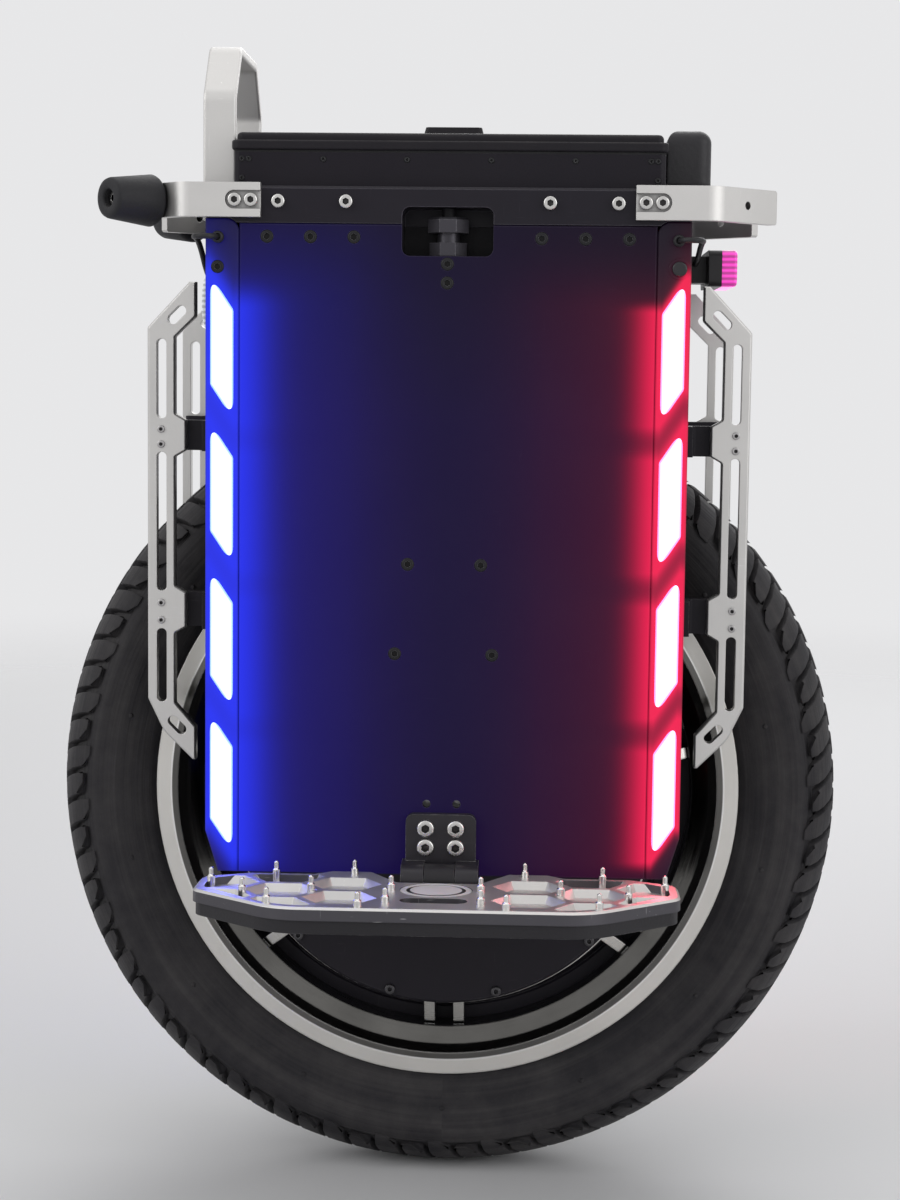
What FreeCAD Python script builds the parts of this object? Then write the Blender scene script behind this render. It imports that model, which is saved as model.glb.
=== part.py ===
import FreeCAD, Part
import math
import os

# Electric unicycle: one driven wheel between two battery cases, with folding pedals, light posts,
# corner arms, a grab handle and a lidded controller box on top.
# Millimetres. Origin on the ground under the axle, X to the rear, Y to the right side, Z up.

V = FreeCAD.Vector
X_AXIS = V(1, 0, 0)
Y_AXIS = V(0, 1, 0)
Z_AXIS = V(0, 0, 1)
FULL_TURN = 360.0

# Clearances
overrun = 5.0
fit_gap = 0.05
seat_gap = 0.3
touch = 0.0001

# Shares of a size
end_round_share = 0.49
bend_share = 0.45

# Tyre
tyre_radius = 256.0
tyre_half = 40.5
shoulder_radius = 241.0
shoulder_half = 38.0
belly_radius = 222.0
carcass = 6.6
liner_radius = 243.5
liner_edge_radius = 240.0
liner_edge_half = 22.0
liner_foot_radius = 190.0
liner_foot_half = 15.0
lip_half = 29.0
bead_half = 23.7
bead_width = 10.5
tread_depth = 7.0
pitch_count = 42
rib_half = 12.0
rib_groove = 5.0
wide_groove = 8.5
narrow_groove = 5.0
narrow_groove_start = 27.0
narrow_groove_depth = 5.0
cross_groove = 7.0
cross_groove_depth = 6.0
wide_groove_share = 0.25
narrow_groove_share = 0.62

# Rim and motor ring
flange_radius = 191.0
flange_foot_radius = 177.0
flange_outer_half = 30.0
flange_step = 5.0
rim_seat_radius = 178.7
rim_seat_width = 9.0
well_radius = 168.0
well_half = 9.0
barrel_radius = 161.0
barrel_half = 21.0
hub_outer_radius = 141.0
hub_inner_radius = 127.0
hub_half = 36.0
spoke_pairs = 7
spoke_width = 7.0
spoke_spacing = 19.4
spoke_rim_half = 17.0
spoke_hub_half = 27.0
spoke_sink = 3.0
valve_radius = 4.0
valve_collar_radius = 6.0
valve_collar = 3.0
valve_inner_end = 172.0
valve_outer_end = 146.0

# Motor
cover_radius = 139.0
cover_face = 45.0
cover_bevel = 2.0
cover_wall = 5.0
boss_radius = 46.0
boss_face = 47.5
collar_radius = 33.0
bearing_radius = 26.0
bearing_width = 15.0
bearing_inset = 1.2
cover_screw_count = 12
cover_screw_circle = 134.5
cover_screw_head_radius = 3.3
cover_screw_head = 2.2
cover_screw_radius = 2.0
cover_screw_reach = 8.0
magnet_half = 22.0
magnet_thickness = 4.5
air_gap = 0.8
axle_radius = 12.5
axle_seat_radius = 15.0
axle_seat_half = 30.0
axle_half = 74.0
core_half = 20.0
core_depth = 30.0
core_web_half = 5.0
core_hub_radius = 30.0
core_hub_half = 14.0
winding_height = 9.0
winding_inset = 3.0
winding_round = 3.0

# Side cases
case_half = 128.0
case_inner = 50.0
case_wall = 3.0
case_bottom = 214.0
case_top = 619.0
axle_hole_radius = 13.5
shelf_height = 300.0
screw_bar_height = 11.0
screw_bar_depth = 9.0
screw_bar_inner = 45.0
screw_bar_outer = 118.0
battery_half = 121.5
battery_top = 574.0
battery_round = 6.0
block_half = 40.0
block_top = 296.0
block_shoulder = 16.0
block_slit = 2.0
clamp_screw_drop = 25.0
clamp_screw_radius = 3.0
clamp_screw_head_radius = 5.0
clamp_screw_head = 5.0
clamp_screw_reach = 11.0

# Side panels
panel_inner = 93.0
panel_outer = 97.0
panel_bevel = 0.8
panel_screw_radius = 2.0
panel_screw_head_radius = 4.0
panel_screw_head = 2.0
panel_screw_reach = 8.0
panel_screw_proud = 0.4
top_screw_height = 610.7
top_screw_first = 57.5
top_screw_pitch = 26.75
top_screw_count = 3
mid_screw_half = 22.7
mid_screw_height = 410.0
low_screw_half = 30.3
low_screw_height = 354.0
latch_screw_drop = 4.7
latch_screw_pitch = 11.5
latch_screw_count = 2
post_screw_place = 141.5
post_screw_height = 592.0

# Latch
recess_half = 28.0
recess_bottom = 599.5
recess_top = 629.3
recess_round = 5.0
recess_back = 69.5
cup_wall = 2.5
cup_tab_half = 8.0
cup_tab_bottom = 578.0
cup_tab_depth = 4.0
knob_axis = 83.5
knob_stud_radius = 4.0
knob_base_radius = 12.4
knob_base_top = 608.0
knob_neck_radius = 7.0
knob_neck_top = 614.0
knob_head_radius = 13.6
knob_head_top = 623.5
knob_bevel = 1.5
knob_sides = 8

# Light posts
post_outer = 149.0
post_inner_side = 60.0
post_skin = 9.0
post_wall = 1.5
post_top = 621.4
post_round = 8.0
post_bevel_length = 8.0
post_bevel_height = 26.0
channel_bottom = 250.0
channel_top = 585.0
lens_inner = 131.5
lens_outer = 146.0
lens_height = 74.5
lens_pitch = 90.7
lens_first_top = 580.0
lens_round = 3.0
lens_count = 4
lens_gap = 0.1
lens_proud = 0.3
board_thickness = 1.6
board_margin = 1.0

# Push button and charging socket on the rear posts
button_place = 141.8
button_height = 593.0
button_radius = 4.6
button_proud = 2.6
button_travel = 1.5
button_length = 10.0
button_dome = 1.0
bezel_radius = 6.4
bezel_proud = 0.8
bezel_floor = 3.0
socket_lip = 1.6

# Top rails and frame
rail_inner = 66.0
rail_top = 641.5
rail_bevel = 1.5
rail_bolt_height = 632.0
rail_bolt_first = 62.4
rail_bolt_pitch = 41.6
rail_bolt_count = 2
rail_bolt_head_radius = 4.2
rail_bolt_head = 4.0
rail_bolt_radius = 2.5
rail_bolt_reach = 14.0
frame_half = 134.2
frame_opening_half = 112.0
frame_opening_side = 48.0
frame_opening_round = 12.0
lug_side = 51.0
lug_length = 21.0

# Controller box and lid
box_half = 133.0
box_side = 87.0
box_wall = 3.0
box_top = 662.8
box_round = 4.0
box_window_half = 95.0
box_window_side = 44.0
seal_height = 1.2
seal_width = 2.0
lid_bead = 1.5
lid_bead_height = 6.0
lid_bead_round = 1.4
lid_top = 675.0
lid_setback = 1.5
lid_skin = 3.0
cap_half = 21.0
cap_side = 26.0
cap_height = 10.0
cap_taper = 3.0
lid_screw_height = 658.5
lid_screw_shares = (0.195, 0.583, 0.930, 0.962)
box_screw_height = 646.8
box_screw_share = 0.962
lid_screw_radius = 1.8
lid_screw_reach = 2.5
lid_screw_proud = 0.6
sink_half = 100.0
sink_side = 56.0
sink_base = 4.0
sink_fin_count = 14
sink_fin = 2.0
sink_fin_depth = 16.0
sink_fin_half = 90.0
board_half = 92.0
board_side = 52.0
standoff_radius = 3.0
standoff_height = 3.0
standoff_inset = 8.0
capacitor_radius = 7.0
capacitor_height = 7.0
capacitor_count = 4
capacitor_pitch = 34.0
capacitor_row = 30.0

# Corner arms and bumpers
arm_inner_end = 114.5
arm_bend = 164.0
arm_tip = 203.0
arm_bottom = 622.0
arm_height = 21.0
arm_thickness = 6.0
arm_bend_round = 14.0
arm_edge = 1.2
arm_slot_margin = 1.4
arm_slot_depth = 2.4
arm_screw_inset = 6.0
arm_screw_pitch = 10.0
arm_screw_count = 2
arm_screw_head_radius = 4.2
arm_screw_head = 2.8
arm_screw_radius = 2.5
arm_screw_reach = 12.0
facet_hole_radius = 2.5
bumper_base_radius = 14.5
bumper_tip_radius = 11.6
bumper_length = 32.0
bumper_round = 2.5
bumper_recess_radius = 4.2
bumper_recess_depth = 7.0

# Grab handle and rear block
handle_width = 20.6
handle_thickness = 6.0
handle_foot = 622.0
handle_knee = 700.0
handle_top = 733.0
handle_slope = 27.0
handle_round = 12.0
handle_edge = 1.5
handle_bolt_rise = 5.0
handle_bolt_pitch = 9.5
handle_bolt_count = 2
handle_bolt_radius = 2.5
handle_bolt_head_radius = 4.2
handle_bolt_head = 3.0
block_rear = 162.5
block_bottom = 646.7
block_rise = 33.8
block_side = 60.0
block_edge = 8.0

# Lights, cowls and leads
cowl_thickness = 6.0
cowl_bottom = 496.0
cowl_slot_count = 5
cowl_slot_half = 30.0
cowl_slot_height = 5.0
cowl_slot_pitch = 9.0
cowl_slot_base = 503.0
cowl_round = 10.0
tail_bracket_end = 163.6
tail_bracket_side = 14.0
tail_body_end = 172.0
tail_lens_end = 181.7
tail_bottom = 585.0
tail_height = 23.0
tail_side = 38.0
tail_round = 4.0
tail_bracket_inset = 3.0
head_body_end = 157.0
head_lens_end = 160.5
head_bottom = 550.0
head_height = 44.0
head_side = 42.0
head_round = 8.0
head_lamp_radius = 17.0
head_lamp_spacing = 40.0
head_lamp_depth = 6.0
head_lens_round = 1.8
lead_radius = 1.8
lead_hole_place = 141.0
lead_hole_height = 610.0
lead_exit = 10.0
lead_sink = 4.0
lead_turn = 15.0
lead_straight = 29.0
lead_end_run = 16.0
lead_rear_end_height = 600.0
lead_front_end_height = 586.0

# Mudguard
mudguard_radius = 267.0
mudguard_thickness = 3.0
mudguard_reach = 57.0

# Guards and their links
guard_side = 66.0
guard_thickness = 8.0
guard_outer = 189.0
guard_inner = 171.7
guard_end = 158.5
guard_tab = 164.7
guard_bottom = 281.0
guard_foot = 302.0
guard_foot_knee = 317.0
guard_heel = 299.0
guard_calf = 320.0
guard_heel_place = 179.0
guard_shoulder = 555.0
guard_top = 583.5
guard_head = 562.0
guard_neck = 549.0
guard_low_tab = 366.0
guard_low_tab_height = 22.0
guard_high_tab = 478.0
guard_high_tab_height = 19.0
guard_toe_share = 0.1
guard_tab_flare = 4.0
guard_round = 3.0
guard_slot_inner = 177.0
guard_slot_outer = 183.3
guard_slot_gap = 1.0
guard_end_slot_length = 14.0
guard_end_slot_width = 6.5
guard_end_slot_place = 170.4
guard_low_end_slot = 303.0
guard_high_end_slot = 562.8
guard_screw_place = 180.3
guard_screw_shares = (0.2, 0.7)
guard_screw_radius = 1.5
guard_screw_head_radius = 2.4
guard_screw_head = 1.6
guard_edge = 1.0
link_thickness = 8.0
link_foot = 4.0
link_foot_side = 84.0
link_end = 186.0
link_round = 3.0

# Pedal hangers
hanger_half = 22.0
hanger_top = 254.0
hanger_thickness = 6.0
hanger_round = 5.0
hanger_bolt_half = 9.4
hanger_bolt_low = 233.4
hanger_bolt_pitch = 12.0
hanger_bolt_rows = 2
spare_hole_height = 259.5
spare_hole_radius = 2.5
spare_hole_depth = 16.0
hanger_bolt_radius = 3.0
hanger_bolt_head_radius = 5.4
hanger_bolt_head = 4.2
hanger_bolt_reach = 14.0
hinge_side = 112.0
hinge_height = 214.0
hinge_pin_radius = 4.0
knuckle_radius = 10.5
knuckle_half = 9.4
hanger_foot_half = 24.0
knuckle_gap = 0.4

# Pedals
pedal_tilt = 2.0
pedal_half = 146.5
pedal_pad_inner = 102.0
pedal_outer = 218.0
pedal_notch_side = 135.0
pedal_notch_half = 24.5
pedal_pad_start = 42.0
pedal_pad_end = 68.0
pedal_shoulder = 78.0
pedal_waist_side = 112.0
pedal_bow_inner = 118.0
pedal_bow_outer = 92.0
pedal_tip_inner = 128.0
pedal_tip_outer = 168.0
pedal_pad_round = 3.5
pedal_waist_round = 7.0
pedal_tip_round = 14.0
pedal_bow_round = 42.0
plate_top = 217.0
plate_thickness = 8.0
plate_bevel = 1.5
pocket_depth = 5.0
pocket_rim = 6.0
pocket_slope = 3.5
least_pocket_share = 0.05
cell_radius = 22.5
cell_column = 37.5
cell_row = 43.0
cell_first_column = 56.0
cell_middle = 165.0
cell_row_shares = ((-0.5, 0.5), (-1.0, 0.0, 1.0), (-0.5, 0.5))
centre_pocket_half = 20.0
centre_pocket_side = 191.0
centre_pocket_width = 15.0
disc_radius = 22.0
disc_side = 158.0
disc_depth = 1.2
base_thickness = 8.0
base_inset = 1.5
base_rib = 5.0
base_rib_half = 120.0
base_rib_depth = 5.0
arm_half = 8.0
stud_radius = 2.4
stud_pin_radius = 1.5
stud_height = 3.6
stud_shoulder = 0.9
stud_pin_height = 8.2
stud_point = 0.8
stud_shares = ((0.942, 0.371), (0.785, 0.638), (0.689, 0.155), (0.662, 0.888), (0.511, 0.543),
               (0.362, 0.078), (0.184, 0.500), (0.294, 0.957), (0.191, 0.836))

axle_height = tyre_radius
pad_height = plate_top - plate_thickness


# Drawing helpers

def on_side(y):
    """Drawing plane seen from the side: X and Z at the given Y."""
    return lambda x, z: V(x, y, z)


def on_plan(z):
    """Drawing plane seen from above: X and Y at the given Z."""
    return lambda x, y: V(x, y, z)


def on_end(x):
    """Drawing plane seen from the end: Y and Z at the given X."""
    return lambda y, z: V(x, y, z)


def on_wheel(y, radius):
    """Half section of a wheel piece: Y along the axle and radius upward from it."""
    return V(0, y, axle_height + radius)


def rounded_wire(points, rounds, place):
    """Closed wire through points, each corner rounded by its own radius or by one for all."""
    count = len(points)
    if not isinstance(rounds, (list, tuple)):
        rounds = [rounds] * count
    spots = [V(u, v, 0) for u, v in points]
    stops = []
    for i, corner in enumerate(spots):
        back = (spots[i - 1] - corner).normalize()
        ahead = (spots[(i + 1) % count] - corner).normalize()
        half = back.getAngle(ahead) / 2
        radius = rounds[i]
        if radius == 0 or abs(half - math.pi / 2) < touch:
            stops.append((corner, None, corner))
            continue
        reach = radius / math.tan(half)
        middle = corner + (back + ahead).normalize() * (radius / math.sin(half) - radius)
        stops.append((corner + back * reach, middle, corner + ahead * reach))
    edges = []
    for i, (start, middle, end) in enumerate(stops):
        if middle is not None:
            edges.append(Part.Arc(place(start.x, start.y), place(middle.x, middle.y),
                                  place(end.x, end.y)).toShape())
        follow = stops[(i + 1) % count][0]
        if (follow - end).Length > touch:
            edges.append(Part.LineSegment(place(end.x, end.y), place(follow.x, follow.y)).toShape())
    return Part.Wire(edges)


def side_plate(points, rounds, y0, y1):
    """Plate with an outline in X and Z, from y0 to y1."""
    return Part.Face(rounded_wire(points, rounds, on_side(y0))).extrude(V(0, y1 - y0, 0))


def plan_plate(points, rounds, z0, z1):
    """Plate with an outline in X and Y, from z0 to z1."""
    return Part.Face(rounded_wire(points, rounds, on_plan(z0))).extrude(V(0, 0, z1 - z0))


def end_plate(points, rounds, x0, x1):
    """Plate with an outline in Y and Z, from x0 to x1."""
    return Part.Face(rounded_wire(points, rounds, on_end(x0))).extrude(V(x1 - x0, 0, 0))


def rectangle(u0, u1, v0, v1):
    return ((u0, v0), (u1, v0), (u1, v1), (u0, v1))


def box(x0, x1, y0, y1, z0, z1):
    return Part.makeBox(x1 - x0, y1 - y0, z1 - z0, V(x0, y0, z0))


def rod(radius, start, end):
    return Part.makeCylinder(radius, (end - start).Length, start, end - start)


def turned(edges):
    """Solid of revolution about the axle from the edges of its half section."""
    return Part.Face(Part.Wire(edges)).revolve(V(0, 0, axle_height), Y_AXIS, FULL_TURN)


def turned_outline(points):
    """Solid of revolution about the axle from straight runs through (Y, radius) points."""
    spots = [on_wheel(y, radius) for y, radius in points]
    return turned(Part.makePolygon(spots + spots[:1]).Edges)


def around_axle(shape, angle):
    copy = shape.copy()
    copy.rotate(V(0, 0, axle_height), Y_AXIS, angle)
    return copy


def to_left(shape):
    return shape.mirror(V(0, 0, 0), Y_AXIS)


def to_front(shape):
    return shape.mirror(V(0, 0, 0), X_AXIS)


def both_sides(shape):
    return [to_left(shape), shape]


def bevelled(shape, size, wanted):
    """Shape with a flat bevel on each edge for which wanted(edge) holds."""
    edges = [edge for edge in shape.Edges if wanted(edge)]
    return shape.makeChamfer(size, edges)


def softened(shape, size, wanted):
    """Shape with each edge rounded for which wanted(edge) holds."""
    edges = [edge for edge in shape.Edges if wanted(edge)]
    return shape.makeFillet(size, edges)


def edge_at_y(y):
    return lambda edge: all(abs(vertex.Y - y) < touch for vertex in edge.Vertexes)


def edge_at_z(z):
    return lambda edge: all(abs(vertex.Z - z) < touch for vertex in edge.Vertexes)


def side_screw(x, z, face, head_radius, head, shank_radius, reach):
    """Screw whose head stands out in +Y from a face and whose shank goes in by reach."""
    top = rod(head_radius, V(x, face, z), V(x, face + head, z))
    return top.fuse(rod(shank_radius, V(x, face - reach, z), V(x, face, z))).removeSplitter()


def tube(points, radius):
    """Round tube along straight runs joined by arcs as large as the shorter run beside each point allows."""
    spots = [V(*point) for point in points]
    edges = []
    start = spots[0]
    for before, corner, after in zip(spots, spots[1:], spots[2:]):
        back = (before - corner).normalize()
        ahead = (after - corner).normalize()
        half = back.getAngle(ahead) / 2
        reach = bend_share * min((before - corner).Length, (after - corner).Length)
        bend = reach * math.tan(half)
        middle = corner + (back + ahead).normalize() * (bend / math.sin(half) - bend)
        edges.append(Part.LineSegment(start, corner + back * reach).toShape())
        edges.append(Part.Arc(corner + back * reach, middle, corner + ahead * reach).toShape())
        start = corner + ahead * reach
        print("lead bend radius", round(bend, 2))
    edges.append(Part.LineSegment(start, spots[-1]).toShape())
    section = Part.Wire(Part.Circle(spots[0], spots[1] - spots[0], radius).toShape())
    return Part.Wire(edges).makePipeShell([section], True, False)


def save(name, *shapes):
    solids = [solid for shape in shapes for solid in shape.Solids]
    whole = solids[0] if len(solids) == 1 else Part.makeCompound(solids)
    whole.exportStep(os.path.join("parts", name + ".step"))


# Wheel

def crown(y):
    """Tread radius at a distance from the wheel's middle plane."""
    drop = tyre_radius - shoulder_radius
    bow = (shoulder_half ** 2 + drop ** 2) / (2 * drop)
    return tyre_radius - bow + math.sqrt(bow ** 2 - y ** 2)


def tyre_section():
    """Edges of the tyre's section: crown, grooves, sidewalls, beads and the liner inside."""
    groove_end = rib_half + rib_groove
    floor = crown(groove_end) - tread_depth
    lip_radius = flange_radius + seat_gap
    bead_radius = rim_seat_radius + seat_gap
    shoulder_middle = (groove_end + shoulder_half) / 2

    def arc(a, b, c):
        return Part.Arc(on_wheel(*a), on_wheel(*b), on_wheel(*c)).toShape()

    def runs(*points):
        spots = [on_wheel(*point) for point in points]
        return [Part.LineSegment(a, b).toShape() for a, b in zip(spots, spots[1:])]

    edges = [arc((-rib_half, crown(rib_half)), (0, tyre_radius), (rib_half, crown(rib_half)))]
    for side in (1, -1):
        edges += runs((side * rib_half, crown(rib_half)), (side * rib_half, floor),
                      (side * groove_end, floor),
                      (side * groove_end, crown(groove_end)))
        edges.append(arc((side * groove_end, crown(groove_end)),
                         (side * shoulder_middle, crown(shoulder_middle)),
                         (side * shoulder_half, shoulder_radius)))
        edges.append(arc((side * shoulder_half, shoulder_radius), (side * tyre_half, belly_radius),
                         (side * lip_half, lip_radius)))
        edges += runs((side * lip_half, lip_radius), (side * bead_half, lip_radius),
                      (side * bead_half, bead_radius),
                      (side * (bead_half - bead_width), bead_radius),
                      (side * liner_foot_half, liner_foot_radius))
        edges.append(arc((side * liner_foot_half, liner_foot_radius),
                         (side * (tyre_half - carcass), belly_radius),
                         (side * liner_edge_half, liner_edge_radius)))
    edges.append(arc((-liner_edge_half, liner_edge_radius), (0, liner_radius),
                     (liner_edge_half, liner_edge_radius)))
    return Part.__sortEdges__(edges)


def groove_tool(points, width):
    """Cutter across the tread: an outline of (Y, radius) points, as wide as the groove round the tyre."""
    spots = [on_wheel(y, radius) - X_AXIS * (width / 2) for y, radius in points]
    return Part.Face(Part.makePolygon(spots + spots[:1])).extrude(X_AXIS * width)


def tyre():
    outer = tyre_half + overrun
    top = tyre_radius + overrun
    start = rib_half + rib_groove / 2
    slope = (crown(start) - shoulder_radius) / (shoulder_half - start)
    wide_floor = crown(start) - tread_depth
    wide_end = wide_floor - slope * (outer - start)
    narrow_floor = crown(narrow_groove_start) - narrow_groove_depth
    narrow_end = narrow_floor - slope * (outer - narrow_groove_start)
    cross_floor = tyre_radius - cross_groove_depth
    tools = []
    pitch = FULL_TURN / pitch_count
    for side in (1, -1):
        wide = groove_tool(((side * start, wide_floor), (side * outer, wide_end), (side * outer, top),
                            (side * start, top)), wide_groove)
        narrow = groove_tool(((side * narrow_groove_start, narrow_floor), (side * outer, narrow_end),
                              (side * outer, top), (side * narrow_groove_start, top)), narrow_groove)
        lead = side * wide_groove_share
        tools += [around_axle(wide, (i + lead) * pitch) for i in range(pitch_count)]
        tools += [around_axle(narrow, (i + lead + narrow_groove_share) * pitch) for i in range(pitch_count)]
    cross = groove_tool(((-start, cross_floor), (start, cross_floor), (start, top), (-start, top)),
                        cross_groove)
    tools += [around_axle(cross, i * pitch + pitch / 2) for i in range(pitch_count)]
    return turned(tyre_section()).cut(tools)


def rim():
    ring_points = []
    bead_wall = bead_half + seat_gap
    for side in (1, -1):
        half = [(well_half, well_radius), (bead_wall - rim_seat_width, rim_seat_radius - seat_gap),
                (bead_wall, rim_seat_radius), (bead_wall, flange_radius),
                (flange_outer_half, flange_radius),
                (flange_outer_half, flange_foot_radius), (flange_outer_half - flange_step,
                                                          flange_foot_radius - flange_step),
                (barrel_half, barrel_radius)]
        half = [(side * y, radius) for y, radius in half]
        ring_points += half if side == 1 else half[::-1]
    ring = turned_outline(ring_points)
    hub = turned_outline(rectangle(-hub_half, hub_half, hub_inner_radius, hub_outer_radius))
    spoke = groove_tool(((-spoke_hub_half, hub_outer_radius - spoke_sink),
                         (spoke_hub_half, hub_outer_radius - spoke_sink),
                         (spoke_rim_half, barrel_radius + spoke_sink),
                         (-spoke_rim_half, barrel_radius + spoke_sink)),
                        spoke_width)
    spokes = []
    for i in range(spoke_pairs):
        for side in (1, -1):
            bar = spoke.translated(X_AXIS * (side * spoke_spacing / 2))
            spokes.append(around_axle(bar, FULL_TURN / 2 + i * FULL_TURN / spoke_pairs))
    whole = ring.fuse([hub] + spokes)
    holes = [rod(cover_screw_radius + fit_gap, V(0, side * (hub_half - cover_screw_reach),
                                                 axle_height + cover_screw_circle),
                 V(0, side * (hub_half + overrun), axle_height + cover_screw_circle)) for side in (1, -1)]
    turn = FULL_TURN / cover_screw_count
    drilled = [around_axle(hole, i * turn + turn / 2) for hole in holes for i in range(cover_screw_count)]
    valve_hole = around_axle(rod(valve_radius + fit_gap, on_wheel(0, barrel_radius - overrun),
                                 on_wheel(0, well_radius + overrun)), FULL_TURN / spoke_pairs)
    return whole.cut(drilled + [valve_hole])


def tyre_valve():
    stem = rod(valve_radius, on_wheel(0, valve_outer_end), on_wheel(0, valve_inner_end))
    collar = rod(valve_collar_radius, on_wheel(0, barrel_radius - valve_collar - seat_gap),
                 on_wheel(0, barrel_radius - seat_gap))
    return around_axle(stem.fuse(collar).removeSplitter(), FULL_TURN / spoke_pairs)


def motor_cover():
    bore = bearing_radius + fit_gap
    collar_end = boss_face - bearing_inset - bearing_width
    inner_face = cover_face - cover_wall
    cover = turned_outline((
        (hub_half, cover_radius), (cover_face - cover_bevel, cover_radius),
                            (cover_face, cover_radius - cover_bevel),
        (cover_face, boss_radius + boss_face - cover_face), (boss_face, boss_radius), (boss_face, bore),
        (collar_end, bore), (collar_end, collar_radius), (inner_face, collar_radius + cover_wall),
        (inner_face, hub_inner_radius - cover_wall), (hub_half, hub_inner_radius)))
    hole = rod(cover_screw_radius + fit_gap, on_wheel(hub_half - overrun, cover_screw_circle),
               on_wheel(cover_face + overrun, cover_screw_circle))
    turn = FULL_TURN / cover_screw_count
    return cover.cut([around_axle(hole, i * turn + turn / 2) for i in range(cover_screw_count)])


def cover_screws():
    screw = side_screw(0, axle_height + cover_screw_circle, cover_face, cover_screw_head_radius,
                       cover_screw_head,
                       cover_screw_radius, cover_face - hub_half + cover_screw_reach - seat_gap)
    turn = FULL_TURN / cover_screw_count
    return [around_axle(screw, i * turn + turn / 2) for i in range(cover_screw_count)]


def magnet_ring():
    outer = hub_inner_radius - fit_gap
    return turned_outline(rectangle(-magnet_half, magnet_half, outer - magnet_thickness, outer))


def bearing():
    face = boss_face - bearing_inset
    return turned_outline(rectangle(face - bearing_width, face, axle_radius + fit_gap, bearing_radius))


def axle():
    seat = rod(axle_seat_radius, V(0, -axle_seat_half, axle_height), V(0, axle_seat_half, axle_height))
    shaft = rod(axle_radius, V(0, -axle_half, axle_height), V(0, axle_half, axle_height))
    return seat.fuse(shaft).removeSplitter()


def stator_radius():
    return hub_inner_radius - fit_gap - magnet_thickness - air_gap


def stator_core():
    inner = stator_radius() - core_depth
    bore = axle_seat_radius + fit_gap
    return turned_outline((
        (core_half, stator_radius()), (core_half, inner), (core_web_half, inner),
                           (core_web_half, core_hub_radius),
        (core_hub_half, core_hub_radius), (core_hub_half, bore), (-core_hub_half, bore),
        (-core_hub_half, core_hub_radius), (-core_web_half, core_hub_radius), (-core_web_half, inner),
        (-core_half, inner), (-core_half, stator_radius())))


def stator_winding():
    outer = stator_radius() - winding_inset
    inner = stator_radius() - core_depth + winding_inset
    end = core_half + winding_height
    wire = rounded_wire(((core_half, inner), (core_half, outer), (end, outer), (end, inner)),
                        (0, 0, winding_round, winding_round), on_wheel)
    return turned(wire.Edges)


# Side cases and what they hold

def hanger_hole_places():
    heights = [hanger_bolt_low + i * hanger_bolt_pitch for i in range(hanger_bolt_rows)]
    return [(side * hanger_bolt_half, z) for side in (1, -1) for z in heights]


def spare_hole_places():
    return [(side * hanger_bolt_half, spare_hole_height) for side in (1, -1)]


def battery_screw_places():
    return [(side * half, z) for side in (1, -1)
            for half, z in ((mid_screw_half, mid_screw_height), (low_screw_half, low_screw_height))]


def top_screw_places():
    return [side * (top_screw_first + i * top_screw_pitch) for side in (1, -1)
            for i in range(top_screw_count)]


def latch_screw_heights():
    return [recess_bottom - latch_screw_drop - i * latch_screw_pitch for i in range(latch_screw_count)]


def panel_screw_places():
    top = [(x, top_screw_height) for x in top_screw_places()]
    return top + battery_screw_places() + [(0, z) for z in latch_screw_heights()]


def side_case():
    inside = case_inner + case_wall
    shell = box(-case_half, case_half, case_inner, panel_inner, case_bottom, case_top)
    shell = shell.cut(box(-case_half + case_wall, case_half - case_wall, inside, panel_inner + overrun,
                          case_bottom + case_wall, case_top - case_wall))
    shelf = box(-case_half + case_wall, case_half - case_wall, inside, panel_inner - seat_gap, shelf_height,
                shelf_height + case_wall)
    bar = box(screw_bar_inner, screw_bar_outer, panel_inner - screw_bar_depth, panel_inner,
              case_top - case_wall - screw_bar_height, case_top - case_wall)
    bars = [bar, to_front(bar)]
    holes = [rod(panel_screw_radius + fit_gap, V(x, panel_inner - panel_screw_reach, top_screw_height),
                 V(x, panel_inner + overrun, top_screw_height)) for x in top_screw_places()]
    axle_hole = rod(axle_hole_radius, V(0, case_inner - overrun, axle_height),
                    V(0, inside + overrun, axle_height))
    cup_outer = recess_half + cup_wall + seat_gap
    cup_room = box(-cup_outer, cup_outer, recess_back - cup_wall - seat_gap, panel_inner + overrun,
                   case_top - case_wall - overrun, case_top + overrun)
    return shell.fuse([shelf] + bars).cut(holes + [axle_hole, cup_room])


def axle_block():
    inside = case_inner + case_wall
    bottom = case_bottom + case_wall
    outline = ((-block_half, bottom), (block_half, bottom), (block_half, block_top - block_shoulder),
               (block_half - block_shoulder, block_top), (-block_half + block_shoulder, block_top),
               (-block_half, block_top - block_shoulder))
    block = side_plate(outline, 0, inside, panel_inner - seat_gap)
    bore_end = axle_half + seat_gap
    bore = rod(axle_radius + fit_gap, V(0, inside - overrun, axle_height), V(0, bore_end, axle_height))
    slit = box(-block_slit / 2, block_slit / 2, inside - overrun, bore_end, bottom - overrun, axle_height)
    clamp_side = (inside + bore_end) / 2
    clamp_height = axle_height - clamp_screw_drop
    clamp = rod(clamp_screw_radius + fit_gap, V(-clamp_screw_reach, clamp_side, clamp_height),
                V(block_half + overrun, clamp_side, clamp_height))
    face = panel_inner + overrun
    depth = panel_outer + hanger_thickness - hanger_bolt_reach - hanger_thickness
    holes = [rod(hanger_bolt_radius + fit_gap, V(x, depth - seat_gap, z), V(x, face, z)) for x,
             z in hanger_hole_places()]
    spare = [rod(spare_hole_radius, V(x, panel_outer - spare_hole_depth, z), V(x, face, z))
             for x, z in spare_hole_places()]
    return block.cut([bore, slit, clamp] + holes + spare)


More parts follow.
